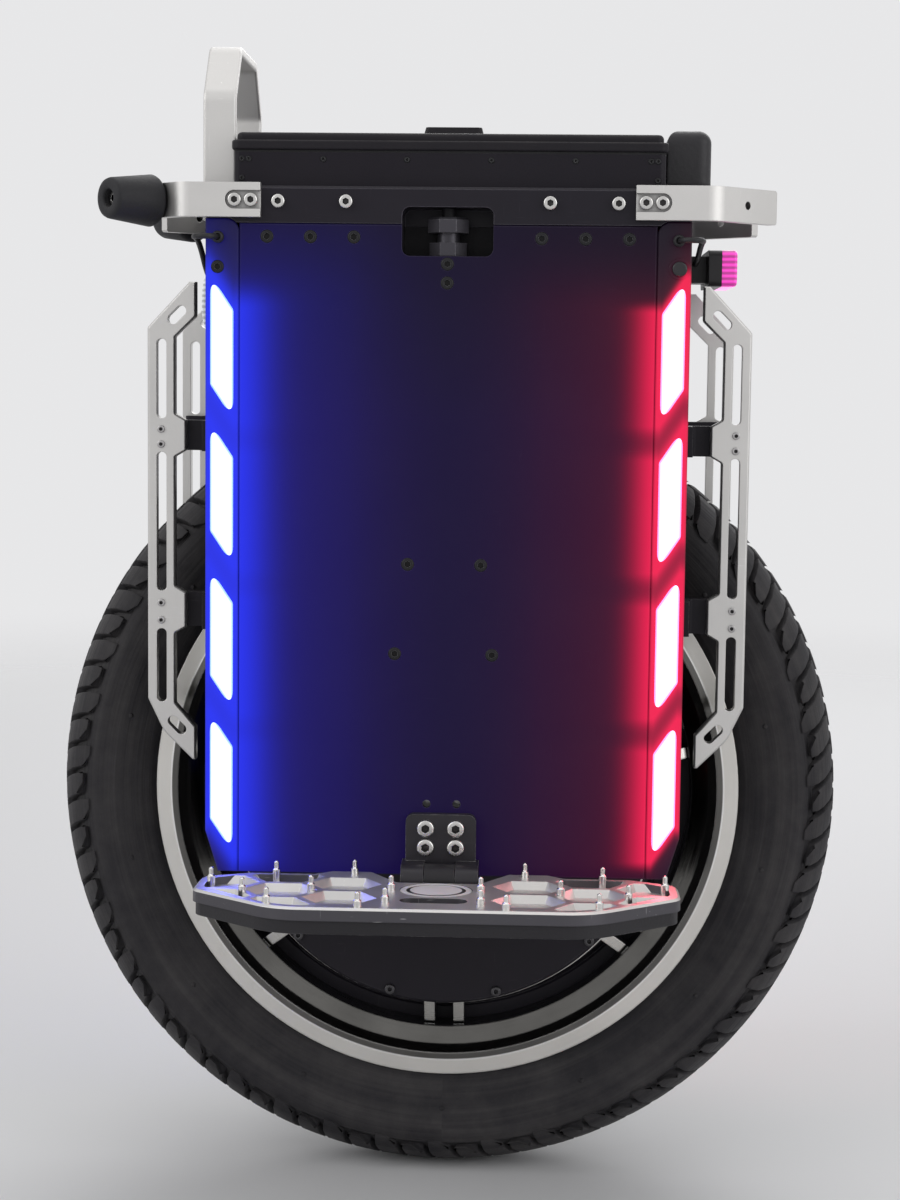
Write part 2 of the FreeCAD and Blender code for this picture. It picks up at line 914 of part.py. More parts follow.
def axle_clamp_screw():
    side = (case_inner + case_wall + axle_half + seat_gap) / 2
    height = axle_height - clamp_screw_drop
    shank = rod(clamp_screw_radius, V(seat_gap - clamp_screw_reach, side, height),
                V(block_half, side, height))
    head = rod(clamp_screw_head_radius, V(block_half, side, height),
               V(block_half + clamp_screw_head, side, height))
    return shank.fuse(head).removeSplitter()


def battery_pack():
    inside = case_inner + case_wall
    pack = box(-battery_half, battery_half, inside, panel_inner - seat_gap, shelf_height + case_wall,
               battery_top)
    pack = softened(pack, battery_round,
                    lambda edge: abs(edge.Vertexes[0].Y - edge.Vertexes[1].Y) > battery_round)
    holes = [rod(panel_screw_radius + fit_gap, V(x, panel_inner - panel_screw_reach, z),
                 V(x, panel_inner, z))
             for x, z in battery_screw_places()]
    return pack.cut(holes)


def recess_outline(inset):
    return rectangle(-recess_half + inset, recess_half - inset, recess_bottom + inset, recess_top - inset)


def side_panel():
    panel = side_plate(rectangle(-case_half, case_half, case_bottom, case_top - seat_gap), 0, panel_inner,
                       panel_outer)
    panel = bevelled(panel, panel_bevel, edge_at_y(panel_outer))
    recess = side_plate(recess_outline(0), recess_round, panel_inner - overrun, panel_outer + overrun)
    low, high = panel_inner - overrun, panel_outer + overrun
    holes = [rod(panel_screw_radius + fit_gap, V(x, low, z), V(x, high, z)) for x,
             z in panel_screw_places()]
    sinks = [rod(panel_screw_head_radius + fit_gap, V(x, panel_outer - panel_screw_head, z), V(x, high, z))
             for x, z in panel_screw_places()]
    bolts = [rod(hanger_bolt_radius + fit_gap, V(x, low, z), V(x, high, z)) for x,
             z in hanger_hole_places()]
    spare = [rod(spare_hole_radius, V(x, low, z), V(x, high, z)) for x, z in spare_hole_places()]
    return panel.cut([recess] + holes + sinks + bolts + spare)


def panel_screws():
    reach = panel_outer - panel_screw_head - panel_inner + panel_screw_reach - seat_gap
    return [side_screw(x, z, panel_outer - panel_screw_head, panel_screw_head_radius,
                       panel_screw_head + panel_screw_proud, panel_screw_radius, reach) for x,
            z in panel_screw_places()]


def post_screw():
    """Screw in the outer face of a front post."""
    return to_front(side_screw(post_screw_place, post_screw_height, panel_outer - panel_screw_head,
                               panel_screw_head_radius, panel_screw_head + panel_screw_proud,
                               panel_screw_radius,
                               panel_screw_reach))


def latch_cup():
    """Cup that closes the finger recess behind the panel, with the knob's stud and a screw tab."""
    outer = recess_half + cup_wall
    bottom = recess_bottom - cup_wall
    cup = box(-outer, outer, recess_back - cup_wall, panel_inner, bottom, case_top)
    room = box(-recess_half, recess_half, recess_back, panel_inner + overrun, recess_bottom,
               case_top + overrun)
    tab = box(-cup_tab_half, cup_tab_half, panel_inner - cup_tab_depth, panel_inner, cup_tab_bottom, bottom)
    stud = rod(knob_stud_radius, V(0, knob_axis, bottom), V(0, knob_axis, recess_top - seat_gap))
    holes = [rod(panel_screw_radius + fit_gap, V(0, panel_inner - panel_screw_reach - overrun, z),
                 V(0, panel_inner + overrun, z)) for z in latch_screw_heights()]
    return cup.cut(room).fuse([tab, stud]).cut(holes)


def octagon(radius, z0, z1):
    step = 2 * math.pi / knob_sides
    turns = [i * step + step / 2 for i in range(knob_sides)]
    points = [(radius * math.sin(turn), knob_axis + radius * math.cos(turn)) for turn in turns]
    return plan_plate(points, 0, z0, z1)


def latch_knob():
    bottom = recess_bottom + seat_gap
    base = octagon(knob_base_radius, bottom, knob_base_top)
    head = octagon(knob_head_radius, knob_neck_top, knob_head_top)
    head = bevelled(head, knob_bevel, edge_at_z(knob_head_top))
    neck = rod(knob_neck_radius, V(0, knob_axis, knob_base_top), V(0, knob_axis, knob_neck_top))
    bore = rod(knob_stud_radius + fit_gap, V(0, knob_axis, bottom - overrun),
               V(0, knob_axis, knob_head_top + overrun))
    return base.fuse([neck, head]).cut(bore)


# Light posts

def lens_outline(top, gap):
    """Leaning window: the outer edge stands higher than the inner one by the window's width."""
    bottom = top - lens_height
    lean = lens_outer - lens_inner
    return ((lens_outer - gap, top - 2 * gap), (lens_inner + gap, top - lean - gap),
            (lens_inner + gap, bottom + 2 * gap),
            (lens_outer - gap, bottom + lean + gap))


def lens_tops():
    return [lens_first_top - i * lens_pitch for i in range(lens_count)]


def light_post():
    outline = ((case_half + seat_gap, case_bottom), (post_outer - post_bevel_length, case_bottom),
               (post_outer, case_bottom + post_bevel_height), (post_outer, post_top),
               (case_half + seat_gap, post_top))
    post = side_plate(outline, (0, 0, 0, 0, post_round), post_inner_side, panel_outer)
    post = bevelled(post, panel_bevel, edge_at_y(panel_outer))
    channel = box(case_half + seat_gap + post_wall, post_outer - post_wall, post_inner_side - overrun,
                  panel_outer - post_skin - board_thickness, channel_bottom, channel_top)
    windows = [side_plate(lens_outline(top, 0), lens_round, panel_outer - post_skin - overrun,
                          panel_outer + overrun)
               for top in lens_tops()]
    seats = [side_plate(lens_outline(top, -board_margin), 0, panel_outer - post_skin - board_thickness,
                        panel_outer - post_skin) for top in lens_tops()]
    paths = [side_plate(lens_outline(top, 0), 0, post_inner_side - overrun, panel_outer - post_skin)
             for top in lens_tops()]
    lead_hole = rod(lead_radius + fit_gap, V(lead_hole_place, panel_outer - lead_sink, lead_hole_height),
                    V(lead_hole_place, panel_outer + overrun, lead_hole_height))
    return post.cut([channel, lead_hole] + windows + seats + paths)


def screwed_post(post):
    """Front post with the seat of its screw."""
    hole = rod(panel_screw_radius + fit_gap, V(post_screw_place, panel_outer - post_skin - overrun,
                                               post_screw_height),
               V(post_screw_place, panel_outer + overrun, post_screw_height))
    seat = rod(panel_screw_head_radius + fit_gap, V(post_screw_place, panel_outer - panel_screw_head,
                                                    post_screw_height),
               V(post_screw_place, panel_outer + overrun, post_screw_height))
    return to_front(post.cut([hole, seat]))


def button_floor():
    """Bottom of the button's bore, which leaves room for its travel."""
    return panel_outer + button_proud - button_length - button_travel - seat_gap


def button_post(post):
    """Rear post with a raised bezel ring round the bore of the button or socket."""
    ring = rod(bezel_radius, V(button_place, button_floor() - bezel_floor, button_height),
               V(button_place, panel_outer + bezel_proud, button_height))
    bore = rod(button_radius + fit_gap, V(button_place, button_floor(), button_height),
               V(button_place, panel_outer + overrun, button_height))
    room = box(case_half + seat_gap, post_outer, post_inner_side, panel_outer, case_bottom, post_top)
    ring = ring.common(room.fuse(rod(bezel_radius, V(button_place, panel_outer, button_height),
                                     V(button_place, panel_outer + overrun, button_height))))
    return post.fuse(ring).cut(bore)


def power_button():
    start = panel_outer + button_proud - button_length
    end = panel_outer + button_proud
    cap = rod(button_radius, V(button_place, start, button_height), V(button_place, end, button_height))
    return softened(cap, button_dome, edge_at_y(end))


def charge_socket():
    """Capped charging socket in the bore opposite the power button."""
    face = panel_outer + bezel_proud
    plug = rod(button_radius, V(button_place, button_floor(), button_height),
               V(button_place, face, button_height))
    lip = rod(bezel_radius, V(button_place, face, button_height),
              V(button_place, face + socket_lip, button_height))
    return softened(plug.fuse(lip).removeSplitter(), button_dome, edge_at_y(face + socket_lip))


def post_lenses():
    return [side_plate(lens_outline(top, lens_gap), lens_round - lens_gap, panel_outer - post_skin,
                       panel_outer + lens_proud) for top in lens_tops()]


def light_boards():
    face = panel_outer - post_skin
    return [side_plate(lens_outline(top, -board_margin), 0, face - board_thickness, face)
            for top in lens_tops()]


# Top of the chassis

def top_rail():
    rail = box(-post_outer, post_outer, rail_inner, panel_outer, case_top, rail_top)
    rail = bevelled(rail, rail_bevel,
                    lambda edge: edge_at_y(panel_outer)(edge) and not edge_at_z(case_top)(edge))
    recess = side_plate(recess_outline(0), recess_round, recess_back, panel_outer + overrun)
    notch = side_plate(rectangle(case_half, post_outer + overrun, case_top - overrun, post_top + seat_gap),
                       (0, 0, 0, post_round), rail_inner - overrun, panel_outer + overrun)
    holes = [rod(rail_bolt_radius + fit_gap, V(x, rail_inner - overrun, rail_bolt_height),
                 V(x, panel_outer + overrun, rail_bolt_height)) for x in rail_bolt_places()]
    depth = panel_outer + arm_thickness - arm_slot_depth - arm_screw_reach
    arm_holes = [rod(arm_screw_radius + fit_gap, V(x, depth - seat_gap, arm_middle()),
                     V(x, panel_outer + overrun, arm_middle())) for x in arm_screw_places()]
    arm_holes += [to_front(hole) for hole in arm_holes]
    return rail.cut([recess, notch, to_front(notch)] + holes + arm_holes)


def rail_bolt_places():
    return [side * (rail_bolt_first + i * rail_bolt_pitch) for side in (1, -1)
            for i in range(rail_bolt_count)]


def rail_bolts():
    reach = panel_outer - rail_inner + rail_bolt_reach
    return [side_screw(x, rail_bolt_height, panel_outer, rail_bolt_head_radius, rail_bolt_head,
                       rail_bolt_radius, reach)
            for x in rail_bolt_places()]


def top_frame():
    side = rail_inner
    frame = box(-frame_half, frame_half, -side, side, case_top, rail_top)
    opening = plan_plate(rectangle(-frame_opening_half, frame_opening_half, -frame_opening_side,
                                   frame_opening_side),
                         frame_opening_round, case_top - overrun, rail_top + overrun)
    lug_outer = handle_outer() - handle_thickness
    lugs = []
    holes = []
    for turn in (1, -1):
        lugs.append(box(-frame_half - lug_length, -frame_half, min(turn * lug_side, turn * lug_outer),
                        max(turn * lug_side, turn * lug_outer), handle_foot, rail_top))
        for z in handle_bolt_heights():
            holes.append(rod(handle_bolt_radius + fit_gap, V(handle_middle(), turn * (lug_side - overrun),
                                                             z),
                             V(handle_middle(), turn * (lug_outer + overrun), z)))
        depth = side - rail_bolt_reach - seat_gap
        for x in rail_bolt_places():
            holes.append(rod(rail_bolt_radius + fit_gap, V(x, turn * depth, rail_bolt_height),
                             V(x, turn * (side + overrun), rail_bolt_height)))
    post_room = []
    for turn in (1, -1):
        y0, y1 = sorted((turn * (post_inner_side - seat_gap), turn * (rail_inner + overrun)))
        room = box(case_half, frame_half + overrun, y0, y1, case_top - overrun, post_top + seat_gap)
        post_room += [room, to_front(room)]
    return frame.cut(post_room).fuse(lugs).cut([opening] + holes)


def rounded_box(half, side, z0, z1, corner):
    return plan_plate(rectangle(-half, half, -side, side), corner, z0, z1)


def top_box():
    tray = rounded_box(box_half, box_side, rail_top, box_top, box_round)
    room = rounded_box(box_half - box_wall, box_side - box_wall, rail_top + box_wall, box_top + overrun,
                       max(box_round - box_wall, 0))
    window = plan_plate(rectangle(-box_window_half, box_window_half, -box_window_side, box_window_side), 0,
                        rail_top - overrun, rail_top + box_wall + overrun)
    holes = [rod(lid_screw_radius + fit_gap, V(x, turn * (box_side - lid_screw_reach), z),
                 V(x, turn * (box_side + overrun), z)) for turn in (1, -1) for x, z in lid_screw_places()]
    return tray.cut([room, window] + holes)


def lid_screw_places():
    """Row of screws under the lid and one lower screw at each end, in X and Z."""
    row = [(side * share * box_half, lid_screw_height) for side in (1, -1) for share in lid_screw_shares]
    return row + [(side * box_screw_share * box_half, box_screw_height) for side in (1, -1)]


def lid_screws():
    return [rod(lid_screw_radius, V(x, box_side - lid_screw_reach, z), V(x, box_side + lid_screw_proud, z))
            for x, z in lid_screw_places()]


def lid_seal():
    outer = rounded_box(box_half, box_side, box_top, box_top + seal_height, box_round)
    inner = rounded_box(box_half - seal_width, box_side - seal_width, box_top - overrun, box_top + overrun,
                        max(box_round - seal_width, 0))
    return outer.cut(inner)


def top_lid():
    bottom = box_top + seal_height
    bead_top = bottom + lid_bead_height
    bead = rounded_box(box_half + lid_bead, box_side + lid_bead, bottom, bead_top, box_round + lid_bead)
    bead = softened(bead, lid_bead_round, lambda edge: edge_at_z(bottom)(edge) or edge_at_z(bead_top)(edge))
    crown_plate = rounded_box(box_half - lid_setback, box_side - lid_setback, bead_top - lid_skin, lid_top,
                              box_round)
    crown_plate = softened(crown_plate, lid_skin, edge_at_z(lid_top))
    hollow = rounded_box(box_half - box_wall - lid_skin, box_side - box_wall - lid_skin, bottom - overrun,
                         lid_top - lid_skin, box_round)
    low = rounded_wire(rectangle(-cap_half, cap_half, -cap_side, cap_side), cap_taper,
                       on_plan(lid_top - lid_skin / 2))
    high = rounded_wire(rectangle(-cap_half + cap_taper, cap_half - cap_taper, -cap_side + cap_taper,
                                  cap_side - cap_taper), cap_taper, on_plan(lid_top + cap_height))
    cap = Part.makeLoft([low, high], True, True)
    return bead.fuse([crown_plate, cap]).cut(hollow)


def heat_sink():
    floor = rail_top + box_wall
    base = box(-sink_half, sink_half, -sink_side, sink_side, floor, floor + sink_base)
    gap = (2 * (box_window_side - box_wall) - sink_fin) / (sink_fin_count - 1)
    fins = [box(-sink_fin_half, sink_fin_half, i * gap - box_window_side + box_wall,
                i * gap - box_window_side + box_wall + sink_fin, floor - sink_fin_depth, floor)
            for i in range(sink_fin_count)]
    return base.fuse(fins).removeSplitter()


def controller_board():
    floor = rail_top + box_wall + sink_base
    bottom = floor + standoff_height
    plate = box(-board_half, board_half, -board_side, board_side, bottom, bottom + board_thickness)
    top = bottom + board_thickness
    posts = [rod(standoff_radius, V(x, y, floor), V(x, y, bottom)) for x in (standoff_inset - board_half,
                                                                            board_half - standoff_inset)
             for y in (standoff_inset - board_side, board_side - standoff_inset)]
    start = -capacitor_pitch * (capacitor_count - 1) / 2
    cans = [rod(capacitor_radius, V(start + i * capacitor_pitch, capacitor_row, top),
                V(start + i * capacitor_pitch, capacitor_row, top + capacitor_height))
            for i in range(capacitor_count)]
    return plate.fuse(posts + cans)


# Corner arms, handle and rear block

def arm_middle():
    return arm_bottom + arm_height / 2


def arm_screw_places():
    return [arm_inner_end + arm_screw_inset + i * arm_screw_pitch for i in range(arm_screw_count)]


def facet_middle():
    """Middle of the slanted facet's outer face, in X and Y."""
    run = (arm_tip - arm_bend) / 2
    return V(arm_bend + run, panel_outer + arm_thickness - run, arm_middle())


def facet_normal():
    return V(1, 1, 0).normalize()


def bumper_arm():
    outer = panel_outer + arm_thickness
    lean = arm_thickness * math.tan(math.pi / 8)
    drop = arm_tip - arm_bend
    back = arm_thickness * facet_normal().x
    outline = ((arm_inner_end, panel_outer), (arm_bend - lean, panel_outer),
               (arm_tip - back, outer - drop - back),
               (arm_tip, outer - drop), (arm_bend, outer), (arm_inner_end, outer))
    rounds = (0, max(arm_bend_round - arm_thickness, 0), 0, 0, arm_bend_round, 0)
    arm = plan_plate(outline, rounds, arm_bottom, arm_bottom + arm_height)
    tip_edge = [edge for edge in arm.Edges if abs(edge.Vertexes[0].Z - edge.Vertexes[-1].Z) < arm_edge
                and edge.BoundBox.XMin > arm_tip - arm_thickness]
    arm = arm.makeChamfer(arm_edge, tip_edge)
    slot_half = arm_screw_head_radius + arm_slot_margin
    slot_end = arm_screw_places()[-1] + slot_half
    slot_round = 2 * slot_half * end_round_share
    slot = side_plate(rectangle(arm_inner_end - overrun, slot_end, arm_middle() - slot_half,
                                arm_middle() + slot_half),
                      (0, slot_round, slot_round, 0), outer - arm_slot_depth, outer + overrun)
    holes = [rod(arm_screw_radius + fit_gap, V(x, panel_outer - overrun, arm_middle()),
                 V(x, outer, arm_middle()))
             for x in arm_screw_places()]
    reach = facet_normal() * (arm_thickness + overrun)
    hole = rod(facet_hole_radius, facet_middle() - reach, facet_middle() + reach)
    return arm.cut([slot, hole] + holes)


def arm_screws():
    face = panel_outer + arm_thickness - arm_slot_depth
    return [side_screw(x, arm_middle(), face, arm_screw_head_radius, arm_screw_head, arm_screw_radius,
                       arm_screw_reach)
            for x in arm_screw_places()]


def rubber_bumper():
    """Tapered rubber buffer on the facet of a front arm, with a bolt recess in its tip."""
    start = facet_middle() + facet_normal() * seat_gap
    cone = Part.makeCone(bumper_base_radius, bumper_tip_radius, bumper_length, start, facet_normal())
    cone = cone.makeFillet(bumper_round, [edge for edge in cone.Edges if len(edge.Vertexes) == 1])
    recess = Part.makeCylinder(bumper_recess_radius, bumper_recess_depth + overrun,
                               start + facet_normal() * (bumper_length - bumper_recess_depth),
                               facet_normal())
    return cone.cut(recess)


def handle_outer():
    """Outer face of the handle's legs, just inside the rails."""
    return rail_inner - seat_gap


def handle_middle():
    return -frame_half - seat_gap - handle_width / 2


def handle_bolt_heights():
    return [handle_foot + handle_bolt_rise + i * handle_bolt_pitch for i in range(handle_bolt_count)]


def handle():
    outer = handle_outer()
    inner = outer - handle_thickness
    flat = outer - handle_slope
    slope = math.atan2(handle_top - handle_knee, handle_slope)
    knee_drop = handle_thickness * math.tan((math.pi / 2 - slope) / 2)
    crest_step = handle_thickness * math.tan(slope / 2)
    under = handle_top - handle_thickness
    outline = ((outer, handle_foot), (outer, handle_knee), (flat, handle_top), (-flat, handle_top),
               (-outer, handle_knee),
               (-outer, handle_foot), (-inner, handle_foot), (-inner, handle_knee - knee_drop),
               (-flat + crest_step, under), (flat - crest_step, under), (inner, handle_knee - knee_drop),
               (inner, handle_foot))
    turn = handle_round
    tight = max(handle_round - handle_thickness, 0)
    rounds = (0, turn, turn, turn, turn, 0, 0, tight, tight, tight, tight, 0)
    start = handle_middle() - handle_width / 2
    bar = end_plate(outline, rounds, start, start + handle_width)
    bar = softened(bar, handle_edge, lambda edge: edge.BoundBox.XLength < handle_edge
                   and edge.BoundBox.ZMin > handle_foot + handle_edge)
    holes = [rod(handle_bolt_radius + fit_gap, V(handle_middle(), side * (inner - overrun), z),
                 V(handle_middle(), side * (outer + overrun), z)) for side in (1, -1)
             for z in handle_bolt_heights()]
    return bar.cut(holes)


def handle_bolts():
    """Bolts that go through the frame's lugs from inside and into the handle's legs."""
    bolts = []
    outer = handle_outer()
    for z in handle_bolt_heights():
        shank = rod(handle_bolt_radius, V(handle_middle(), lug_side, z), V(handle_middle(), outer, z))
        head = rod(handle_bolt_head_radius, V(handle_middle(), lug_side - handle_bolt_head, z),
                   V(handle_middle(), lug_side, z))
        bolts.append(shank.fuse(head).removeSplitter())
    return bolts


def rear_block():
    start = box_half + lid_bead + seat_gap
    block = box(start, block_rear, -block_side, block_side, block_bottom, block_bottom + block_rise)
    top = block_bottom + block_rise
    return softened(block, block_edge, lambda edge: edge_at_z(top)(edge)
                    or (abs(edge.BoundBox.XMin - block_rear) < touch and edge.BoundBox.ZLength > block_edge))


# Cowls, lights, leads and mudguard

def end_cowl():
    start = post_outer - cowl_thickness
    side = post_inner_side
    cowl = end_plate(rectangle(-side, side, cowl_bottom, post_top), (cowl_round, cowl_round, 0, 0), start,
                     post_outer)
    slots = [end_plate(rectangle(-cowl_slot_half, cowl_slot_half, cowl_slot_base + i * cowl_slot_pitch,
                                 cowl_slot_base + i * cowl_slot_pitch + cowl_slot_height),
                       cowl_slot_height * end_round_share,
                       start - overrun, post_outer + overrun) for i in range(cowl_slot_count)]
    return cowl.cut(slots)


def tail_light_housing():
    bracket = end_plate(rectangle(-tail_bracket_side, tail_bracket_side, tail_bottom + tail_bracket_inset,
                                  tail_bottom + tail_height - tail_bracket_inset), 0, post_outer,
                        tail_bracket_end)
    body = end_plate(rectangle(-tail_side, tail_side, tail_bottom, tail_bottom + tail_height), tail_round,
                     tail_bracket_end, tail_body_end)
    return bracket.fuse(body).removeSplitter()


def tail_light_lens():
    lens = end_plate(rectangle(-tail_side, tail_side, tail_bottom, tail_bottom + tail_height), tail_round,
                     tail_body_end,
                     tail_lens_end)
    return softened(lens, tail_round / 2, lambda edge: edge.BoundBox.XMin > tail_lens_end - tail_round / 2)


def lamp_places():
    middle = head_bottom + head_height / 2
    return [(side * head_lamp_spacing / 2, middle) for side in (1, -1)]


def head_light_housing():
    outline = rectangle(-head_side, head_side, head_bottom, head_bottom + head_height)
    body = end_plate(outline, head_round, post_outer, head_body_end)
    seats = [rod(head_lamp_radius + fit_gap, V(head_body_end - head_lamp_depth, y, z),
                 V(head_body_end + overrun, y, z))
             for y, z in lamp_places()]
    return to_front(body.cut(seats))


def head_light_lenses():
    lenses = []
    for y, z in lamp_places():
        lens = rod(head_lamp_radius, V(head_body_end - head_lamp_depth, y, z), V(head_lens_end, y, z))
        lenses.append(to_front(softened(lens, head_lens_round,
                                        lambda edge: edge.BoundBox.XMin > head_body_end)))
    return lenses


def light_lead(end_side, end_place, end_height):
    """Lead from a post's outer face, round the post's corner and in beside a lamp housing."""
    loop = lead_hole_place + lead_turn
    out = panel_outer + lead_exit
    return tube(((lead_hole_place, panel_outer - lead_sink, lead_hole_height),
                 (lead_hole_place, out, lead_hole_height),
                 (loop, out, lead_hole_height), (loop, out - lead_straight, lead_hole_height),
                 (end_place, end_side + lead_end_run, end_height), (end_place, end_side, end_height)),
                lead_radius)


def rear_lead():
    place = (post_outer + tail_bracket_end) / 2
    return light_lead(tail_bracket_side, place, lead_rear_end_height)


def front_lead():
    place = (post_outer + head_body_end) / 2
    return to_front(light_lead(head_side, place, lead_front_end_height))


def mudguard():
    start = on_wheel(seat_gap - case_inner, mudguard_radius)
    arch = Part.Face(Part.makePolygon([start, start + Z_AXIS * mudguard_thickness,
                                       on_wheel(case_inner - seat_gap,
                                                mudguard_radius + mudguard_thickness),
                                       on_wheel(case_inner - seat_gap, mudguard_radius), start]))
    half_angle = FULL_TURN / 4 - mudguard_reach
    arch.rotate(V(0, 0, axle_height), Y_AXIS, -half_angle)
    return arch.revolve(V(0, 0, axle_height), Y_AXIS, 2 * half_angle)


# Guards

def guard_tabs():
    """Lower and upper edge of each of the guard's two tabs."""
    return ((guard_low_tab, guard_low_tab + guard_low_tab_height),
            (guard_high_tab, guard_high_tab + guard_high_tab_height))


def tab_screw_heights(z0, z1):
    return [z0 + share * (z1 - z0) for share in guard_screw_shares]


def guard_screw_heights():
    return [z for z0, z1 in guard_tabs() for z in tab_screw_heights(z0, z1)]


def guard():
    (low0, low1), (high0, high1) = guard_tabs()
    toe = guard_end + (guard_heel_place - guard_end) * guard_toe_share
    outline = ((guard_end, guard_bottom), (toe, guard_bottom),
               (guard_heel_place, guard_heel), (guard_outer, guard_calf), (guard_outer, guard_shoulder),
               (guard_end + guard_tab_flare, guard_top), (guard_end, guard_top), (guard_end, guard_head),
               (guard_inner, guard_neck), (guard_inner, high1 + guard_tab_flare), (guard_tab, high1),
               (guard_tab, high0),
               (guard_inner, high0 - guard_tab_flare), (guard_inner, low1 + guard_tab_flare),
               (guard_tab, low1),
               (guard_tab, low0), (guard_inner, low0 - guard_tab_flare), (guard_inner, guard_foot_knee),
               (guard_end, guard_foot))
    rounds = (0, 0, guard_calf - guard_heel, guard_round, guard_round, 0, 0, guard_round)
    rounds += (guard_round / 2,) * (len(outline) - len(rounds) - 1) + (0,)
    plate = side_plate(outline, rounds, guard_side, guard_side + guard_thickness)
    plate = bevelled(plate, guard_edge, edge_at_y(guard_side + guard_thickness))
    low, high = guard_side - overrun, guard_side + guard_thickness + overrun
    width = guard_slot_outer - guard_slot_inner
    runs = ((guard_foot_knee, low0), (low1, high0), (high1, guard_neck))
    cuts = [side_plate(rectangle(guard_slot_inner, guard_slot_outer, z0 + guard_slot_gap,
                                 z1 - guard_slot_gap),
                       width * end_round_share, low, high) for z0, z1 in runs]
    length = guard_end_slot_length / 2
    half = guard_end_slot_width / 2
    for z, lean in ((guard_low_end_slot, 1), (guard_high_end_slot, -1)):
        slot = side_plate(rectangle(-length, length, -half, half), guard_end_slot_width * end_round_share,
                          low, high)
        slot.rotate(V(0, 0, 0), Y_AXIS, -lean * FULL_TURN / 8)
        cuts.append(slot.translated(V(guard_end_slot_place, 0, z)))
    cuts += [rod(guard_screw_radius + fit_gap, V(guard_screw_place, low, z), V(guard_screw_place, high, z))
             for z in guard_screw_heights()]
    return plate.cut(cuts)


def guard_link(z0, z1):
    """Angle bracket: a foot on the light post's end face and an arm under the guard's tab."""
    outline = ((post_outer, guard_side - link_thickness), (link_end, guard_side - link_thickness),
               (link_end, guard_side),
               (post_outer + link_foot, guard_side), (post_outer + link_foot, link_foot_side),
               (post_outer, link_foot_side))
    link = plan_plate(outline, (0, link_round, 0, link_round, 0, 0), z0, z1)
    holes = [rod(guard_screw_radius + fit_gap, V(guard_screw_place, guard_side - link_thickness - overrun,
                                                 z),
                 V(guard_screw_place, guard_side + overrun, z)) for z in tab_screw_heights(z0, z1)]
    return link.cut(holes)


def guard_screws():
    face = guard_side + guard_thickness
    return [side_screw(guard_screw_place, z, face, guard_screw_head_radius, guard_screw_head,
                       guard_screw_radius,
                       guard_thickness + link_thickness) for z in guard_screw_heights()]


# Pedal hangers and pedals

def hanger():
    """Bolted plate with two hinge lugs under it; the pedal's knuckle turns between the lugs."""
    outer = panel_outer + hanger_thickness
    plate = side_plate(rectangle(-hanger_half, hanger_half, hinge_height, hanger_top),
                       (0, 0, hanger_round, hanger_round), panel_outer, outer)
    top = hinge_height + knuckle_radius
    bottom = hinge_height - knuckle_radius
    whole = plate
    for side in (1, -1):
        x0, x1 = sorted((side * (knuckle_half + knuckle_gap), side * hanger_foot_half))
        lug = box(x0, x1, panel_outer, hinge_side, bottom, top)
        lug = lug.fuse(rod(knuckle_radius, V(x0, hinge_side, hinge_height),
                           V(x1, hinge_side, hinge_height)))
        whole = whole.fuse(lug)
    room = rod(knuckle_radius + knuckle_gap, V(-knuckle_half - knuckle_gap, hinge_side, hinge_height),
               V(knuckle_half + knuckle_gap, hinge_side, hinge_height))
    pin_hole = rod(hinge_pin_radius + fit_gap, V(-hanger_foot_half - overrun, hinge_side, hinge_height),
                   V(hanger_foot_half + overrun, hinge_side, hinge_height))
    holes = [rod(hanger_bolt_radius + fit_gap, V(x, panel_outer - overrun, z), V(x, outer + overrun, z))
             for x, z in hanger_hole_places()]
    return whole.cut([room, pin_hole] + holes).removeSplitter()


def hanger_bolts():
    outer = panel_outer + hanger_thickness
    return [side_screw(x, z, outer, hanger_bolt_head_radius, hanger_bolt_head, hanger_bolt_radius,
                       hanger_thickness + hanger_bolt_reach) for x, z in hanger_hole_places()]


def hinge_pin():
    return rod(hinge_pin_radius, V(-hanger_foot_half, hinge_side, hinge_height),
               V(hanger_foot_half, hinge_side, hinge_height))


def pedal_outline(inset):
    """Boat outline of the pedal in X and Y, with two pads and a notch along the inner edge."""
    half = [(pedal_notch_half, pedal_notch_side + inset), (pedal_pad_start, pedal_pad_inner + inset),
            (pedal_pad_end, pedal_pad_inner + inset), (pedal_shoulder, pedal_waist_side + inset),
            (pedal_bow_inner, pedal_waist_side + inset), (pedal_half - inset, pedal_tip_inner + inset),
            (pedal_half - inset, pedal_tip_outer - inset), (pedal_bow_outer, pedal_outer - inset)]
    return half + [(-x, y) for x, y in half[::-1]]


def pedal_rounds():
    half = [pedal_pad_round, pedal_pad_round, pedal_pad_round, pedal_pad_round, pedal_waist_round,
            pedal_tip_round,
            pedal_tip_round, pedal_bow_round]
    return half + half[::-1]


def pedal_cells():
    """Middles of the honeycomb cells: columns step outward and every second column shifts by half a row."""
    cells = []
    for end in (1, -1):
        for column, rows in enumerate(cell_row_shares):
            x = end * (cell_first_column + column * cell_column)
            cells += [(x, cell_middle + row * cell_row) for row in rows]
    return cells


def stud_places():
    """Middles of the studs, as far along the pedal and across it as their shares say."""
    width = pedal_outer - pedal_pad_inner
    return [(side * along * pedal_half, pedal_pad_inner + across * width)
            for side in (1, -1) for along, across in stud_shares]


def hexagon(x, y, z, radius):
    turn = math.pi / 3
    corners = [V(x + radius * math.cos(i * turn), y + radius * math.sin(i * turn), z) for i in range(6)]
    return Part.makePolygon(corners + corners[:1])


def honeycomb_pocket(x, y):
    """Cutter for one cell, whose walls slope in towards a smaller floor."""
    spread = pocket_slope * overrun / pocket_depth
    floor = hexagon(x, y, plate_top - pocket_depth, cell_radius - pocket_slope)
    return Part.makeLoft([floor, hexagon(x, y, plate_top + overrun, cell_radius + spread)], True, True)


